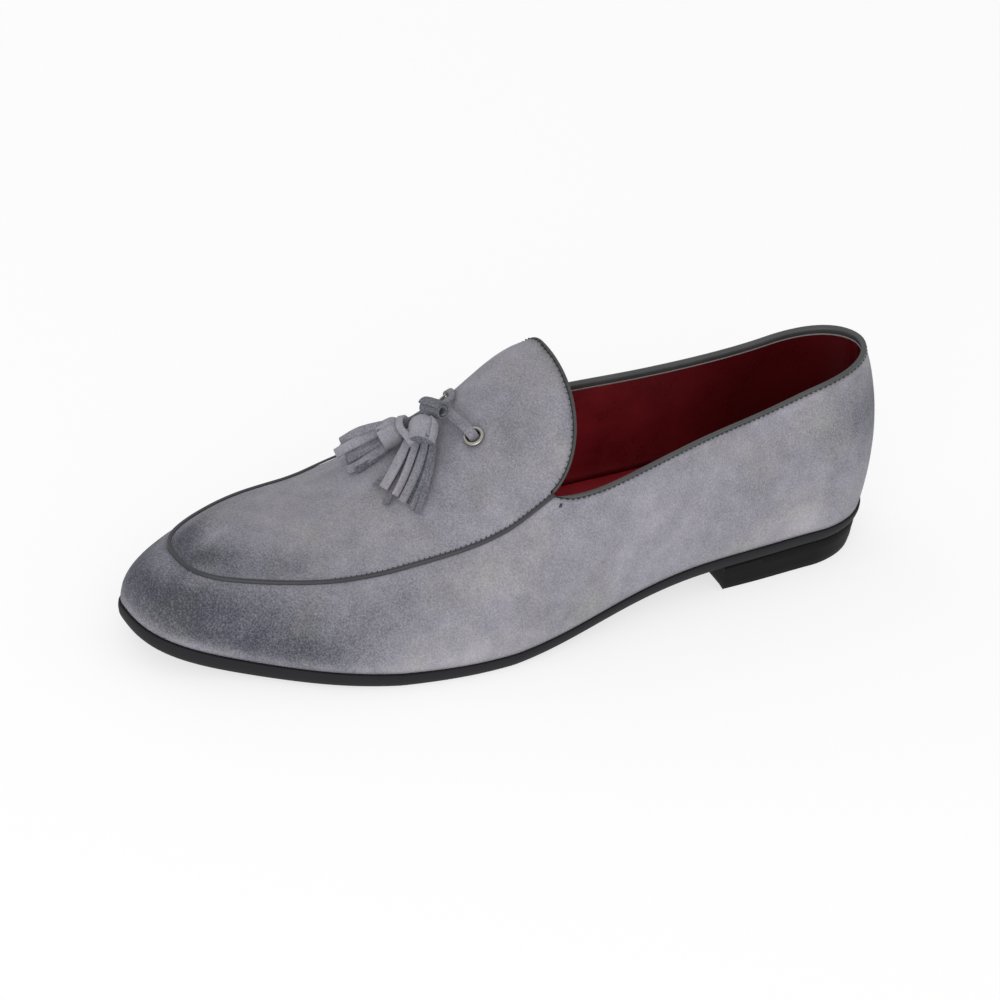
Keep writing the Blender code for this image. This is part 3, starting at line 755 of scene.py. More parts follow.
# Each head has its start and end. Each strip has its tip, its turn about its own length and its share of
# the strips' width.
tassels = {
    "radius": 0.0050,
    "wall": 0.0009,
    "edge": 0.0002,
    "outer": {
        "facing": (0.3, -0.3, 0.0),
        "head": ((0.3833, inner, 0.987, 0.0066), (0.3650, outer, 0.933, 0.0060)),
        "strips": (
            ((0.3190, outer, 0.880, 0.0010), 0.0, 1.0),
            ((0.3275, outer, 0.745, 0.0010), -0.2, 0.9),
            ((0.3120, outer, 0.850, 0.0010), 0.0, 1.2),
            ((0.3200, outer, 0.805, 0.0010), 0.0, 1.2),
            ((0.3250, outer, 0.765, 0.0010), 0.0, 1.2),
            ((0.3290, outer, 0.712, 0.0016), -1.0, 0.8),
            ((0.3030, outer, 0.826, 0.0010), 0.3, 0.9),
            ((0.3235, outer, 0.775, 0.0010), -0.3, 0.9),
            ((0.3023, outer, 0.938, 0.0016), 1.15, 0.9),
            ((0.3120, outer, 0.905, 0.0024), 0.5, 0.9),
            ((0.3240, outer, 0.731, 0.0018), -0.55, 0.95),
            ((0.3190, outer, 0.781, 0.0026), -0.35, 1.0),
            ((0.3145, outer, 0.822, 0.0030), -0.75, 0.85),
            ((0.3074, outer, 0.872, 0.0036), 0.15, 1.22),
        ),
    },
    "inner": {
        "facing": (1.5, -0.8, 0.0),
        "head": ((0.3621, inner, 0.923, 0.0064), (0.3405, inner, 0.898, 0.0062)),
        "strips": (
            ((0.3130, inner, 0.700, 0.0020), 0.1, 1.0),
            ((0.3030, inner, 0.800, 0.0014), 0.0, 1.0),
            ((0.3050, inner, 0.810, 0.0026), 0.0, 1.4),
            ((0.3090, inner, 0.750, 0.0044), 0.0, 1.4),
            ((0.2996, inner, 0.911, 0.0014), -0.3, 0.8),
            ((0.2924, inner, 0.886, 0.0024), 0.1, 1.05),
            ((0.3080, inner, 0.760, 0.0036), 0.0, 1.1),
            ((0.2972, inner, 0.782, 0.0056), -0.1, 1.15),
            ((0.3110, inner, 0.744, 0.0076), 0.1, 1.15),
        ),
    },
}
# The core is a share of the head's radius at shares of its length. The strips start inside the head.
fringe = {
    "neck": 0.0013,
    "core": 0.93,
    "coreShares": ((0.15, 0.8), (0.4, 1.0), (0.97, 1.0), (1.04, 0.8)),
    # the core is painted dark, as shade inside the head's mouth
    "coreShadow": 0.30,
    "ring": 16,
    "width": 0.0030,
    "thickness": 0.0012,
    "sections": 14,
    "spread": 0.75,
    "middleHeight": 0.0026,
    "stack": 0.6,
    "mouth": 0.84,
    "hidden": 0.003,
    "flare": 1.5,
    "run": 0.40,
    "bend": 0.2,
    "sway": 0.0004,
    # painted shade: strips lying lower, under the others, get a darker tone, and a painted shadow darkens all
    # of them next to the head
    "lowShade": 0.10,
    "shadePerHeight": 170,
    "highShade": 0.62,
    "shadow": 0.22,
    "shadowReach": 0.45,
}
# The loose end of the winding runs over the front of the inner head and under the outer one.
winding = {
    "width": 0.0026,
    "thickness": 0.0011,
    "sections": 16,
    "places": (
        (0.3700, inner, 0.925, 0.0062),
        (0.3660, inner, 0.950, 0.0112),
        (0.3590, inner, 0.985, 0.0114),
        (0.3580, outer, 0.955, 0.0090),
        (0.3570, outer, 0.930, 0.0050),
    ),
}


def sidewaysOf(along):
    return along.cross(Vector((0, 0, 1))).normalized()


def rollSuede(name, material, roll, ends, radiusAt, *nodes):
    # a strip of suede rolled up along the line between two places, with its free edge showing
    start, end = (lifted(*place) for place in ends)
    along = (end - start).normalized()
    across = sidewaysOf(along)
    up = across.cross(along)
    made = bmesh.new()

    def place(column, row):
        share, t = column / roll["around"], row / roll["lengthwise"]
        angle = 2 * pi * roll["turns"] * share + roll["from"]
        radius = radiusAt(t, angle) - roll["layer"] * roll["turns"] * share
        middle = start.lerp(end, 0.5 + (t - 0.5) * (1.0 - roll["drawnIn"] * share))
        return middle + (across * cos(angle) + up * sin(angle)) * radius

    addGrid(made, roll["around"], roll["lengthwise"], place)
    piece = finishPiece(made, name, material, "tassel_suede", *nodes, sharp=None)
    thickenPiece(piece, tassels["wall"])
    edge = piece.modifiers.new("edge", "BEVEL")
    edge.width = tassels["edge"]
    edge.segments = 2
    return piece


def knotRadius(t, angle):
    # a little thinner at both open ends
    return knot["radius"] * (0.98 - 0.10 * (2 * t - 1) ** 4)


def headRadius(t, angle):
    # drawn in at the top, with a slight ripple
    swell = 0.98 - 0.42 * max(0.0, 1 - t / 0.30) ** 2 - 0.05 * t
    ripple = noise.noise(Vector((3 * cos(angle), 3 * sin(angle), 5 * t))) * 0.0002
    return tassels["radius"] * swell + ripple


def addCore(made, start, end):
    # the core inside the head and the neck up to the knot
    knotStart, knotEnd = (lifted(*place) for place in knot["ends"])
    front = knotStart.lerp(knotEnd, 0.35)
    neck, ring = fringe["neck"], fringe["ring"]
    inside = tassels["radius"] * fringe["core"]
    profile = [(front, neck), (front.lerp(start, 0.6), neck), (start, neck * 1.6)]
    profile += [(start.lerp(end, t), inside * share) for t, share in fringe["coreShares"]]
    middles = [middle for middle, radius in profile]

    def place(i, k):
        middle, radius = profile[i]
        ahead = directionAt(middles, i)
        aside = sidewaysOf(ahead)
        angle = 2 * pi * k / ring
        return middle + (aside * cos(angle) + aside.cross(ahead) * sin(angle)) * radius

    addLoft(made, len(profile), ring, place)


def stripPath(end, along, goal, aim, face, height, turn, draw):
    # out of the head's mouth along its axis, and over to the strip's tip
    out = aim - along * aim.dot(along)
    out = (out - face * out.dot(face)) * fringe["spread"]
    out += face * (height - fringe["middleHeight"]) * fringe["stack"]
    out *= min(1.0, fringe["mouth"] * tassels["radius"] / max(out.length, 1e-6))
    root = end - along * fringe["hidden"] + out
    pull = end + out * fringe["flare"] + along * (goal - end).length * fringe["run"]
    bend = draw.uniform(-fringe["bend"], fringe["bend"])
    sway = Vector([draw.uniform(-fringe["sway"], fringe["sway"]) for _ in range(3)])
    way = (goal - root).normalized()
    points, ups = [], []
    for k in range(fringe["sections"]):
        t = k / (fringe["sections"] - 1)
        curve = root * (1 - t) ** 2 + pull * 2 * t * (1 - t) + goal * t * t
        points.append(curve + sway * sin(pi * 1.5 * t))
        lean = turn + bend * t
        ups.append(face * cos(lean) + way.cross(face) * sin(lean))
    return points, ups


def stripWidthAt(t):
    # narrower where the strips crowd together in the head
    return 0.78 + 0.22 * min(1, 2.5 * t)


def makeFringe(name, tassel, node, seed):
    start, end = (lifted(*place) for place in tassel["head"])
    along = (end - start).normalized()
    made = bmesh.new()
    addCore(made, start, end)
    shade = made.verts.layers.float.new("shade")
    for corner in made.verts:
        corner[shade] = fringe["coreShadow"]
    draw = random.Random(seed)
    goals = [lifted(*tip) for tip, turn, wide in tassel["strips"]]
    middle = sum(goals, Vector()) / len(goals)
    for (tip, turn, wide), goal in zip(tassel["strips"], goals):
        built = set(made.verts)
        face = (outwardAt(*tip[:3]) + Vector(tassel["facing"])).normalized()
        points, ups = stripPath(end, along, goal, goal - middle, face, tip[3], turn, draw)
        width = fringe["width"] * wide * draw.uniform(0.95, 1.05)
        addBand(made, framesAlong(points, ups), width, fringe["thickness"], stripWidthAt)
        # painted shade: the lower strips, under the others, and the part next to the head are darker
        tone = min(fringe["highShade"], fringe["lowShade"] + fringe["shadePerHeight"] * tip[3])
        tone += draw.uniform(-0.08, 0.08)
        reach = fringe["shadowReach"] * (goal - end).length
        for corner in set(made.verts) - built:
            corner[shade] = tone - fringe["shadow"] * max(0.0, 1 - (corner.co - end).length / reach)
    return finishPiece(made, name, fringeSuede, "tassel_suede", node, sharp=50)


def makeWindingEnd():
    points = smoothPath([lifted(*place) for place in winding["places"]], winding["sections"])
    ups = smoothPath([outwardAt(*place[:3]) for place in winding["places"]], winding["sections"])
    made = bmesh.new()
    addBand(made, framesAlong(points, ups), winding["width"], winding["thickness"])
    return finishPiece(made, "crossStrip", tasselSuede, "tassel_suede", sharp=50)


tasselPieces = [
    rollSuede("tasselKnot", knotSuede, knotRoll, knot["ends"], knotRadius, "tassel_knot"),
    rollSuede("outerTasselHead", tasselSuede, headRoll, tassels["outer"]["head"], headRadius),
    rollSuede("innerTasselHead", tasselSuede, headRoll, tassels["inner"]["head"], headRadius),
    makeFringe("outerTasselFringe", tassels["outer"], "tassel_outer", 4),
    makeFringe("innerTasselFringe", tassels["inner"], "tassel_inner", 9),
    makeWindingEnd(),
]

print("upper")
upper = {
    "pitch": 0.0026,
    "wallRows": 30,
    "apronColumns": 84,
    "apronRows": 26,
    "crowding": 1.5,
    "merge": 0.00025,
    "softening": 5,
    "liningPitch": 0.005,
    "liningColumns": 44,
    "liningRows": 14,
    "liningSoftening": 2,
    "suede": 0.0011,
    "liningDepth": 0.0012,
    "lining": 0.0005,
    "binding": 0.0011,
    "ramp": 0.0080,
}
clouds = {"base": 0.60, "scale": 34, "amount": 0.08, "wideScale": 14, "wideAmount": 0.06}
ripples = {"scale": 30, "height": 0.00018}
# The lining's painted light falls from the first station to the second, and is stronger low down.
liningShade = {"bright": 0.52, "dull": 0.86, "base": 0.12, "gain": 0.75, "lowGain": 0.35, "lowLevel": 0.5}
# Soft patches of lighter and darker nap: station, level, half lengths in both, and how much lighter they are.
patches = (
    (0.070, 0.30, 0.130, 0.24, -0.44),
    (0.170, 0.13, 0.065, 0.13, -0.26),
    (0.090, 0.11, 0.080, 0.09, -0.24),
    (0.015, 0.40, 0.050, 0.30, -0.26),
    (0.045, 0.02, 0.040, 0.04, 0.12),
    (0.110, 0.52, 0.090, 0.05, 0.06),
    (0.000, 0.78, 0.050, 0.12, -0.40),
    (0.050, 0.72, 0.050, 0.08, -0.26),
    (0.130, 0.64, 0.060, 0.08, -0.14),
    (0.090, 0.97, 0.035, 0.14, -0.04),
    (0.250, 0.34, 0.050, 0.12, -0.10),
    (0.300, 0.25, 0.050, 0.16, 0.02),
    (0.390, 0.32, 0.030, 0.10, 0.12),
    (0.360, 0.06, 0.060, 0.06, 0.12),
    (0.250, 0.03, 0.120, 0.03, 0.10),
    (0.530, 0.34, 0.030, 0.10, -0.08),
    (0.480, 0.40, 0.020, 0.06, -0.06),
    (0.600, 0.22, 0.050, 0.14, 0.06),
    (0.660, 0.36, 0.030, 0.06, 0.06),
    (0.770, 0.30, 0.030, 0.08, -0.05),
    (0.860, 0.05, 0.030, 0.06, 0.20),
    (0.970, 0.36, 0.060, 0.12, -0.34),
    (0.985, 0.12, 0.030, 0.08, -0.06),
    (0.450, 0.74, 0.025, 0.10, -0.10),
    (0.500, 0.80, 0.020, 0.25, 0.06),
)
# Soft troughs and ridges in the suede: station, level, half lengths in both, and height in millimetres.
creases = (
    (0.010, 0.86, 0.030, 0.05, -0.5),
    (0.060, 0.80, 0.030, 0.10, 0.35),
    (0.300, 0.30, 0.020, 0.20, -0.25),
    (0.335, 0.30, 0.018, 0.20, 0.20),
    (0.270, 0.80, 0.018, 0.16, -0.25),
    (0.300, 0.82, 0.016, 0.16, 0.20),
    (0.455, 0.30, 0.020, 0.14, -0.30),
    (0.930, 0.22, 0.030, 0.10, -0.35),
    (0.700, 0.20, 0.050, 0.10, -0.20),
)


def patchSum(rows, station, level):
    total = 0.0
    for there, high, long, tall, amount in rows:
        away = ((station - there) / long) ** 2 + ((level - high) / tall) ** 2
        if away < 9:
            total += amount * exp(-away)
    return total


def shadeAt(station, side, level, point):
    cloud = noise.fractal(point * clouds["scale"] + Vector((0, 0, 7 * side)), 0.8, 2.1, 4) * clouds["amount"]
    cloud += noise.noise(point * clouds["wideScale"] + Vector((3, 5, 2))) * clouds["wideAmount"]
    return clouds["base"] + patchSum(patches, station, level) + cloud


def liningShadeAt(station, side, level, point):
    # painted light and shade: the lining is painted lighter beside the notch, as a sheen, and darker at the
    # back, as shade
    fall = liningShade["dull"] - liningShade["bright"]
    ahead = min(max((liningShade["dull"] - station) / fall, 0.0), 1.0)
    low = liningShade["lowGain"] * max(0.0, liningShade["lowLevel"] - level)
    return liningShade["base"] + ahead * (liningShade["gain"] + low)


def reliefAt(station, side, level, point):
    wander = noise.noise(point * ripples["scale"] + Vector((9, 4, side))) * ripples["height"]
    return patchSum(creases, station, level) * 0.001 + wander


def punch(made, place, radius):
    # opens a round hole for an eyelet
    centre, up = skin(*place), outwardAt(*place)

    def aside(point):
        way = point - centre
        return way - up * way.dot(up)

    cut = []
    for face in made.faces:
        middle = face.calc_center_median()
        if (middle - centre).length < 3 * radius and aside(middle).length < radius:
            cut.append(face)
    rim = {corner for face in cut for corner in face.verts}
    bmesh.ops.delete(made, geom=cut, context="FACES")
    for corner in rim:
        if corner.is_valid:
            way = aside(corner.co)
            corner.co += way.normalized() * (radius - way.length)


def sheetOn(columns, rows, where, height, relief, merge=1e-6):
    # a sheet that follows the upper, whose corners remember their shade: the suede's tone, or the lining's
    # painted light and shade; only the suede has relief
    made = bmesh.new()
    places = {}

    def place(column, row):
        station, side, level = where(column, row)
        point = skin(station, side, level)
        lift = height + (reliefAt(station, side, level, point) if relief else 0.0)
        point = point + outwardAt(station, side, level) * lift
        paint = shadeAt if relief else liningShadeAt
        places[point.to_tuple(6)] = paint(station, side, level, point)
        return point

    addGrid(made, columns, rows, place)
    weld(made, made.verts, merge)
    shade = made.verts.layers.float.new("shade")
    for corner in made.verts:
        corner[shade] = places.get(corner.co.to_tuple(6), clouds["base"])
    return made


def wallDrop(station):
    # how far the wall's edge lies below the collar's, where the binding covers it
    share = min(max((station - notch) * last["length"] / upper["ramp"], 0.0), 1.0)
    return (upper["binding"] + last["gap"]) * share


def topLevel(station, side):
    if station <= notch:
        return seamLevel[side](station)
    return collarLevel(station, side, wallDrop(station))


def aroundOf(pitch):
    # from the heel along the outer side to the toe, and back along the inner side
    outerRun, innerRun = (stationsOf(side, pitch) for side in (outer, inner))
    outerPart = [(station, outer) for station in reversed(outerRun)]
    return outerPart + [(station, inner) for station in innerRun[1:]]


def wallSheet(pitch, rows, height, relief):
    around = aroundOf(pitch)
    tops = [topLevel(station, side) for station, side in around]

    def where(column, row):
        return *around[column], tops[column] * row / rows

    return sheetOn(len(around) - 1, rows, where, height, relief)


def apronSheet(columns, rows, height, relief):
    stations = [notch * (k / columns) ** upper["crowding"] for k in range(columns + 1)]
    inset = tongue["binding"] + last["gap"]

    def where(column, row):
        side = outer if row <= rows else inner
        step = min(row, 2 * rows - row)
        station = stations[column]
        if step == 0:
            return station, side, seamLevel[side](station)
        end, level = tongueEdge(side, pi / 2 * (step - 1) / (rows - 1), inset)
        climb = (level - notchLevel[side]) / (1 - notchLevel[side])
        station *= end / notch
        seam = seamLevel[side](min(station, notch))
        return station, side, seam + (1 - seam) * climb

    # the columns draw together at the toe, and are merged there
    return sheetOn(columns, 2 * rows, where, height, relief, upper["merge"])


def soften(made, times):
    inside = [corner for corner in made.verts if not corner.is_boundary]
    every = {"use_axis_x": True, "use_axis_y": True, "use_axis_z": True}
    for _ in range(times):
        bmesh.ops.smooth_vert(made, verts=inside, factor=0.5, **every)


def finishSheet(made, name, lined):
    material, slotName = (liningLeather, "lining") if lined else (suede, "suede")
    piece = finishPiece(made, name, material, slotName, "upper", sharp=None)
    thickenPiece(piece, upper["lining"] if lined else upper["suede"])


def makeApron(name, columns, rows, height, softening, clearance, lined):
    apron = apronSheet(columns, rows, height, not lined)
    soften(apron, softening)
    for eyelet in ("outer", "inner"):
        punch(apron, eyelets[eyelet], eyelets["hole"] + eyelets["tube"] + clearance)
    finishSheet(apron, name, lined)


def makeUpper():
    depth, rows = -upper["liningDepth"], upper["liningRows"]
    finishSheet(wallSheet(upper["pitch"], upper["wallRows"], 0.0, True), "quarters", False)
    columns, across, softening = upper["apronColumns"], upper["apronRows"], upper["softening"]
    makeApron("apron", columns, across, 0.0, softening, eyelets["clearance"], False)
    finishSheet(wallSheet(upper["liningPitch"], rows, depth, False), "quarterLining", True)
    columns, softening = upper["liningColumns"], upper["liningSoftening"]
    makeApron("apronLining", columns, rows, depth, softening, eyelets["liningClearance"], True)


makeUpper()

print("seam and bindings")
seam = {
    "width": 0.0017,
    "height": 0.0009,
    "pitch": 0.0012,
    "overrun": 0.0008,
    "stitchPitch": 0.0019,
    "stitchFrom": 0.20,
    "stitchRun": 0.18,
    "stitch": (0.00024, 0.00022),
}


def seamPlace(value):
    # from -1 at the outer notch through 0 at the toe to 1 at the inner notch
    start = notch + seam["overrun"] / last["length"]
    side = outer if value < 0 else inner
    station = start * abs(value) ** 2.4
    return station, side, seamLevel[side](station)


def perLevel(station, side, level):
    step = 1e-3
    return (skin(station, side, level + step) - skin(station, side, level - step)).length / (2 * step)


def makeSeam():
    values = evenly(lambda value: skin(*seamPlace(value)), seam["pitch"], -1.0, 1.0, 3000)
    made = bmesh.new()
    ring = 12

    def place(i, k):
        station, side, level = seamPlace(values[i])
        angle = pi * k / (ring - 1)
        # the lower half is a rolled edge, and the upper lip lies flatter
        rise = sin(angle) ** 0.8 * (1.0 - 0.25 * (cos(angle) > 0.2))
        away = seam["width"] / 2 * cos(angle) / perLevel(station, side, level)
        return lifted(station, side, level + away, 0.0001 + seam["height"] * rise)

    addLoft(made, len(values), ring, place)
    finishPiece(made, "apronSeam", seamLeather, "binding", "apron_piping", sharp=None)


def addStitch(made, centre, along, up, size):
    across = up.cross(along).normalized()
    up = along.cross(across)
    long, wide, tall = size
    turned = Matrix((along * long, across * wide, up * tall)).transposed().to_4x4()
    turned.translation = centre
    bmesh.ops.create_uvsphere(made, u_segments=6, v_segments=5, radius=1.0, matrix=turned)


def makeSeamStitches():
    values = evenly(lambda value: skin(*seamPlace(value)), seam["stitchPitch"], -0.999, 0.999, 3000)
    made = bmesh.new()
    draw = random.Random(11)
    for value in values:
        station, side, level = seamPlace(value)
        strength = min(1.0, max(0.0, (station - seam["stitchFrom"]) / seam["stitchRun"]))
        if strength <= 0.02:
            continue
        rise = (seam["width"] / 2 + 0.0001) / perLevel(station, side, level)
        centre = lifted(station, side, level + rise, 0.00035)
        up = outwardAt(station, side, level)
        climb = (skin(station, side, level + 1e-3) - skin(station, side, level)).normalized()
        ahead = (skin(station + 1e-3, side, level) - skin(station, side, level)).normalized()
        along = (climb + ahead * (0.5 + draw.uniform(-0.15, 0.15))).normalized()
        long = 0.0002 + 0.0004 * strength + draw.uniform(-0.00012, 0.00012)
        addStitch(made, centre, along, up, (long, *seam["stitch"]))
    finishPiece(made, "seamStitches", threadDark, "binding", sharp=None)


makeSeam()
makeSeamStitches()

collar = {
    "start": notch + 0.0012 / last["length"],
    "pitch": 0.0022,
    "stitch": (0.00070, 0.00020, 0.00024),
    "tack": (0.0010, 0.00022, 0.0002),
    "tackPlaces": (0.0085, 0.0103),
    "cordPitch": 0.004,
    "cordDrop": 2.6,
    "cordDepth": 0.0019,
    "cordRadius": 0.00035,
    "cordRing": 8,
}
# The folded strip's section: distance below the edge as a share of its height, and height above the surface.
collarFold = (
    (1.00, 0.00008),
    (0.85, 0.00030),
    (0.45, 0.00034),
    (0.12, 0.00008),
    (0.00, -0.00050),
    (0.00, -0.00120),
    (0.20, -0.00178),
    (0.70, -0.00202),
    (1.50, -0.00206),
    (2.30, -0.00200),
    (2.45, -0.00180),
)


def collarPath(pitch):
    start = collar["start"]
    runs = {}
    for side in (outer, inner):

        def pointOf(share, side=side):
            station = 1 - (1 - start) * (1 - share) ** 2
            return skin(station, side, collarLevel(station, side, 0.0))

        runs[side] = [1 - (1 - start) * (1 - share) ** 2 for share in evenly(pointOf, pitch, samples=500)]
    around = [(station, outer) for station in runs[outer]]
    return around + [(station, inner) for station in reversed(runs[inner][:-1])]


def makeCollar():
    path = collarPath(collar["pitch"])
    made = bmesh.new()

    def place(i, k):
        station, side = path[i]
        below, height = collarFold[k]
        drop = below * (wallDrop(station) - last["gap"])
        return lifted(station, side, collarLevel(station, side, drop), height)

    addLoft(made, len(path), len(collarFold), place)
    finishPiece(made, "collarBinding", collarLeather, "binding", "collar_binding", sharp=None)


def grooveLevel(station, side):
    return collarLevel(station, side, max(wallDrop(station) + 0.0001, 0.0008))


def makeCollarStitches():
    # a row of small stitches in the groove under the binding, and two at its outer front end
    made = bmesh.new()
    draw = random.Random(5)
    path = collarPath(collar["pitch"])
    long, wide, tall = collar["stitch"]
    for i, (station, side) in enumerate(path[1:-1]):
        level = grooveLevel(station, side)
        following, itsSide = path[i + 2]
        ahead = skin(following, itsSide, grooveLevel(following, itsSide))
        along = (ahead - skin(station, side, level)).normalized()
        centre = lifted(station, side, level, 0.00012)
        size = (long + draw.uniform(-0.0001, 0.0001), wide, tall)
        addStitch(made, centre, along, outwardAt(station, side, level), size)
    for back in collar["tackPlaces"]:
        station = notch + back
        level = collarLevel(station, outer, 0.0028)
        above = skin(station + 0.002, outer, collarLevel(station + 0.002, outer, 0.0016))
        along = (above - skin(station, outer, level)).normalized()
        up = outwardAt(station, outer, level)
        addStitch(made, lifted(station, outer, level, 0.0001), along, up, collar["tack"])
    finishPiece(made, "collarStitches", threadDark, "binding", sharp=None)


def makeCollarCord():
    # a thin pale cord along the inner edge of the binding
    path = collarPath(collar["cordPitch"])
    radius, ring = collar["cordRadius"], collar["cordRing"]
    made = bmesh.new()

    def place(i, k):
        station, side = path[i]
        drop = collar["cordDrop"] * (wallDrop(station) - last["gap"])
        angle = 2 * pi * k / ring
        level = collarLevel(station, side, drop + radius * cos(angle))
        return lifted(station, side, level, -collar["cordDepth"] - radius * sin(angle))

    addLoft(made, len(path), ring, place)
    finishPiece(made, "collarCord", cordLeather, "binding", sharp=None)


makeCollar()
makeCollarStitches()
makeCollarCord()


def tonguePath(pitch):
    first = tongue["start"] / tongue["reach"]
    runs = {}
    for side in (outer, inner):

        def pointOf(turn, side=side):
            station, level = tongueEdge(side, turn, 0)
            return skin(station, side, level)

        runs[side] = evenly(pointOf, pitch, first, pi / 2, 400)
    return [(turn, outer) for turn in runs[outer]] + [(turn, inner) for turn in reversed(runs[inner][:-1])]


tongueFold = (
    (0.00160, 0.00012),
    (0.00130, 0.00036),
    (0.00080, 0.00042),
    (0.00045, 0.00020),
    (0.00030, -0.00040),
    (0.00030, -0.00125),
    (0.00050, -0.00180),
    (0.00090, -0.00194),
    (0.00160, -0.00182),
)


def makeTongueBinding():
    path = tonguePath(tongue["pitch"])
    made = bmesh.new()

    def place(i, k):
        turn, side = path[i]
        inset, height = tongueFold[k]
        station, level = tongueEdge(side, turn, inset)
        return lifted(station, side, level, height)

    addLoft(made, len(path), len(tongueFold), place)
    finishPiece(made, "tongueBinding", bindingLeather, "binding", "tongue_binding", sharp=None)


def makeTongueStitches():
    made = bmesh.new()
    draw = random.Random(3)
    long, wide, tall = tongue["stitch"]
    for turn, side in tonguePath(tongue["stitchPitch"])[1:-1]:
        station, level = tongueEdge(side, turn, tongue["stitchInset"])
        beyondStation, beyondLevel = tongueEdge(side, turn, tongue["stitchAim"])
        centre = lifted(station, side, level, 0.0002)
        along = (skin(beyondStation, side, beyondLevel) - skin(station, side, level)).normalized()
        up = outwardAt(station, side, level)
        along = (along + up.cross(along) * draw.uniform(0.2, 0.7)).normalized()
        addStitch(made, centre, along, up, (long + draw.uniform(-0.0002, 0.0001), wide, tall))
    finishPiece(made, "tongueStitches", threadDark, "binding", sharp=None)


makeTongueBinding()
makeTongueStitches()

print("eyelets")


def standOn(made, place):
    station, side, level = place
    up = outwardAt(*place)
    along = (skin(station + 1e-3, side, level) - skin(station - 1e-3, side, level)).normalized()
    across = up.cross(along).normalized()
    turned = Matrix((across, up.cross(across), up)).transposed().to_4x4()
    turned.translation = skin(*place)
    bmesh.ops.transform(made, matrix=turned, verts=made.verts)


def makeEyelet(name, place, node):
    hole, radius = eyelets["hole"], eyelets["radius"]
    tube, back = hole + eyelets["tube"], eyelets["washer"] * radius
    seat, lip = eyelets["seat"], eyelets["lip"]
    face = seat + eyelets["flange"]
    inside = -(last["wall"] + eyelets["behind"])
    profile = [(hole, face - 0.0006), (hole + 0.0001, face - 0.00025)]
    for k in range(9):
        angle = pi * (1 - k / 8)
        middle = (hole + radius) / 2 + 0.0001
        across = (radius - hole) / 2 * 0.92 * cos(angle)
        profile.append((middle + across, face - lip + lip * sin(angle)))
    profile += [(radius, 0.0007), (radius - 0.0001, seat), (tube, seat), (tube, inside)]
    profile += [(back, inside), (back, inside - 0.0004), (hole, inside - 0.0004)]
    made = bmesh.new()
    corners = [made.verts.new((across, 0.0, height)) for across, height in profile]
    edges = [made.edges.new((corners[k - 1], corners[k])) for k in range(len(corners))]
    bmesh.ops.spin(
        made, geom=corners + edges, cent=(0, 0, 0), axis=(0, 0, 1), angle=2 * pi, steps=40, use_merge=True
    )
    standOn(made, place)
    finishPiece(made, name, nickel, "nickel", node, sharp=50)


def makeHoleShadow(name, place):
    # a dark cup behind each eyelet, painted shade inside the hole where the thong's end goes out of sight
    made = bmesh.new()
    bmesh.ops.create_circle(made, cap_ends=True, segments=24, radius=eyelets["hole"] + 0.0002)
    face = made.faces[:]
    grown = bmesh.ops.extrude_face_region(made, geom=face)
    for item in grown["geom"]:
        if isinstance(item, bmesh.types.BMVert):
            item.co.z = -0.0004
    bmesh.ops.translate(made, vec=(0, 0, -(last["wall"] + eyelets["cup"])), verts=made.verts)
    standOn(made, place)
    finishPiece(made, name, holeShadow, "lining", sharp=50)


makeEyelet("outerEyelet", eyelets["outer"], "eyelet_outer")
makeEyelet("innerEyelet", eyelets["inner"], "eyelet_inner")
makeHoleShadow("outerHole", eyelets["outer"])
makeHoleShadow("innerHole", eyelets["inner"])

print("bottom")
bottom = {
    "pitch": 0.0024,
    "tuck": 0.0012,
    "round": 0.0004,
    "insole": 0.0025,
    "insolePitch": 0.004,
    "insoleInset": 0.0006,
    "breast": 0.746,
    "taper": 0.0010,
    "hollow": 0.0016,
    "lean": 0.0012,
}


def plate(name, stations, layers, material, slotName, node, sharp=40):
    count = len(layers)
    made = bmesh.new()

    def place(i, k):
        station = stations[i]
        side, layer = (outer, k) if k < count else (inner, 2 * count - 1 - k)
        return outline(station, side, *layers[layer](station))

    addLoft(made, len(stations), 2 * count, place)
    return finishPiece(made, name, material, slotName, node, sharp=sharp)


def makeOutsole():
    edge, curve = soleEdge, bottom["round"]
    plate(
        "solePlate",
        stationsOf(outer, bottom["pitch"], 0.0),
        (
            lambda station: (edge - curve, soleTop(station)),
            lambda station: (edge - curve * 0.3, soleTop(station) - curve * 0.3),
            lambda station: (edge, soleTop(station) - curve),
            lambda station: (edge, (2 * soleTop(station) + ground(station)) / 3),
            lambda station: (edge - 0.0004, (soleTop(station) + 2 * ground(station)) / 3),
            lambda station: (edge - bottom["tuck"], ground(station) + curve),
            lambda station: (edge - bottom["tuck"] - curve, ground(station)),
        ),
        soleLeather,
        "sole",
        "outsole",
    )


def makeInsole():
    inset = -(last["wall"] + bottom["insoleInset"])
    lift = last["gap"] + bottom["insole"]
    plate(
        "sockLining",
        stationsOf(outer, bottom["insolePitch"], 0.0),
        (
            lambda station: (inset - 0.006, soleTop(station) + lift - 0.0003),
            lambda station: (inset - 0.001, soleTop(station) + lift),
            lambda station: (inset, soleTop(station) + lift - 0.0004),
            lambda station: (inset, soleTop(station) + last["gap"]),
        ),
        sockLeather,
        "lining",
        "insole",
    )


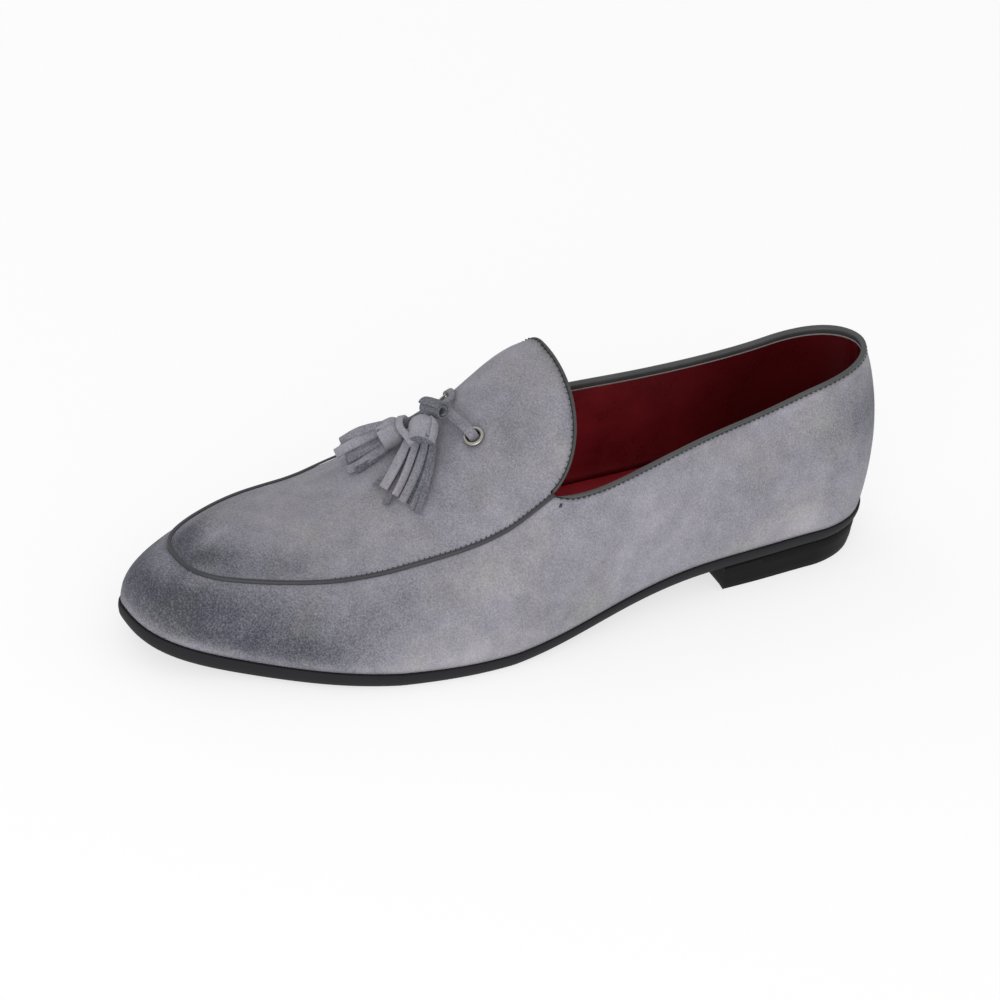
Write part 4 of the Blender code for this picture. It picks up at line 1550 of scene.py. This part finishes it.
def makeHeel():
    # a ring of plan points round the heel, with a hollow front face, stacked in layers
    breast = bottom["breast"]
    edge = soleEdge - bottom["tuck"]
    run = [station for station in stationsOf(outer, bottom["pitch"], 0.0) if station > breast]
    front = 14
    layers = (
        (edge - 0.0004, 1.0, 0.0),
        (edge, 0.96, 0.0),
        (edge - 0.0001, 0.70, 0.0),
        (edge - 0.0002, 0.62, 0.0),
        (edge - 0.0003, 0.58, 0.0),
        (edge - 0.0004, 0.30, 0.0),
        (edge - 0.0009, 0.05, 0.0004),
        (edge - bottom["taper"] - 0.0004, 0.0, 0.0009),
    )
    ring = [(station, outer) for station in [breast] + run]
    ring += [(station, inner) for station in reversed([breast] + run[:-1])]
    made = bmesh.new()

    def place(layer, k):
        out, share, back = layers[layer]
        if k < len(ring):
            station, side = ring[k]
            height = (ground(station) - last["gap"]) * share
            point = outline(station, side, out, height)
            if station == breast:
                point.y += back + bottom["lean"] * (1 - share)
            return point
        t = (k - len(ring) + 1) / (front + 1)
        start = outline(breast, inner, out, 0.0)
        end = outline(breast, outer, out, 0.0)
        point = start.lerp(end, t)
        point.y += 4 * t * (1 - t) * bottom["hollow"] + back + bottom["lean"] * (1 - share)
        point.z = (ground(breast) - last["gap"]) * share
        return point

    addLoft(made, len(layers), len(ring) + front, place)
    finishPiece(made, "heelBlock", heelRubber, "heel", "heel", sharp=45)


makeOutsole()
makeInsole()
makeHeel()

print("stage")
# Each lamp has its place, size and power.
light = {
    "world": 0.62,
    "keyLamp": ((1.23, -0.77, 0.68), 1.3, 8.3),
    "fillLamp": ((-1.0, -0.3, 0.9), 1.0, 1.0),
    "floor": 0.40,
    "glow": 0.68,
}


def makeFloor():
    made = bmesh.new()
    bmesh.ops.create_grid(made, x_segments=1, y_segments=1, size=3.0)
    mesh = bpy.data.meshes.new("floor")
    made.to_mesh(mesh)
    made.free()
    finish = {
        "Base Color": (light["floor"],) * 3 + (1.0,),
        "Roughness": 0.9,
        "Specular IOR Level": 0.0,
        "Emission Color": (1.0, 1.0, 1.0, 1.0),
        "Emission Strength": light["glow"],
    }
    mesh.materials.append(newMaterial("paleFloor", finish)[0])
    floor = bpy.data.objects.new("floor", mesh)
    bpy.context.scene.collection.objects.link(floor)


def addLamp(name, place, size, power):
    data = bpy.data.lights.new(name, "AREA")
    data.size = size
    data.energy = power
    lamp = bpy.data.objects.new(name, data)
    bpy.context.scene.collection.objects.link(lamp)
    lamp.location = place
    lamp.rotation_euler = (-Vector(place)).to_track_quat("-Z", "Y").to_euler()


makeFloor()
for name in ("keyLamp", "fillLamp"):
    addLamp(name, *light[name])
world = bpy.data.worlds.new("studio")
world.use_nodes = True
world.node_tree.nodes["Background"].inputs["Color"].default_value = (1.0, 1.0, 1.0, 1.0)
world.node_tree.nodes["Background"].inputs["Strength"].default_value = light["world"]
bpy.context.scene.world = world
bpy.context.scene.view_settings.view_transform = "Standard"
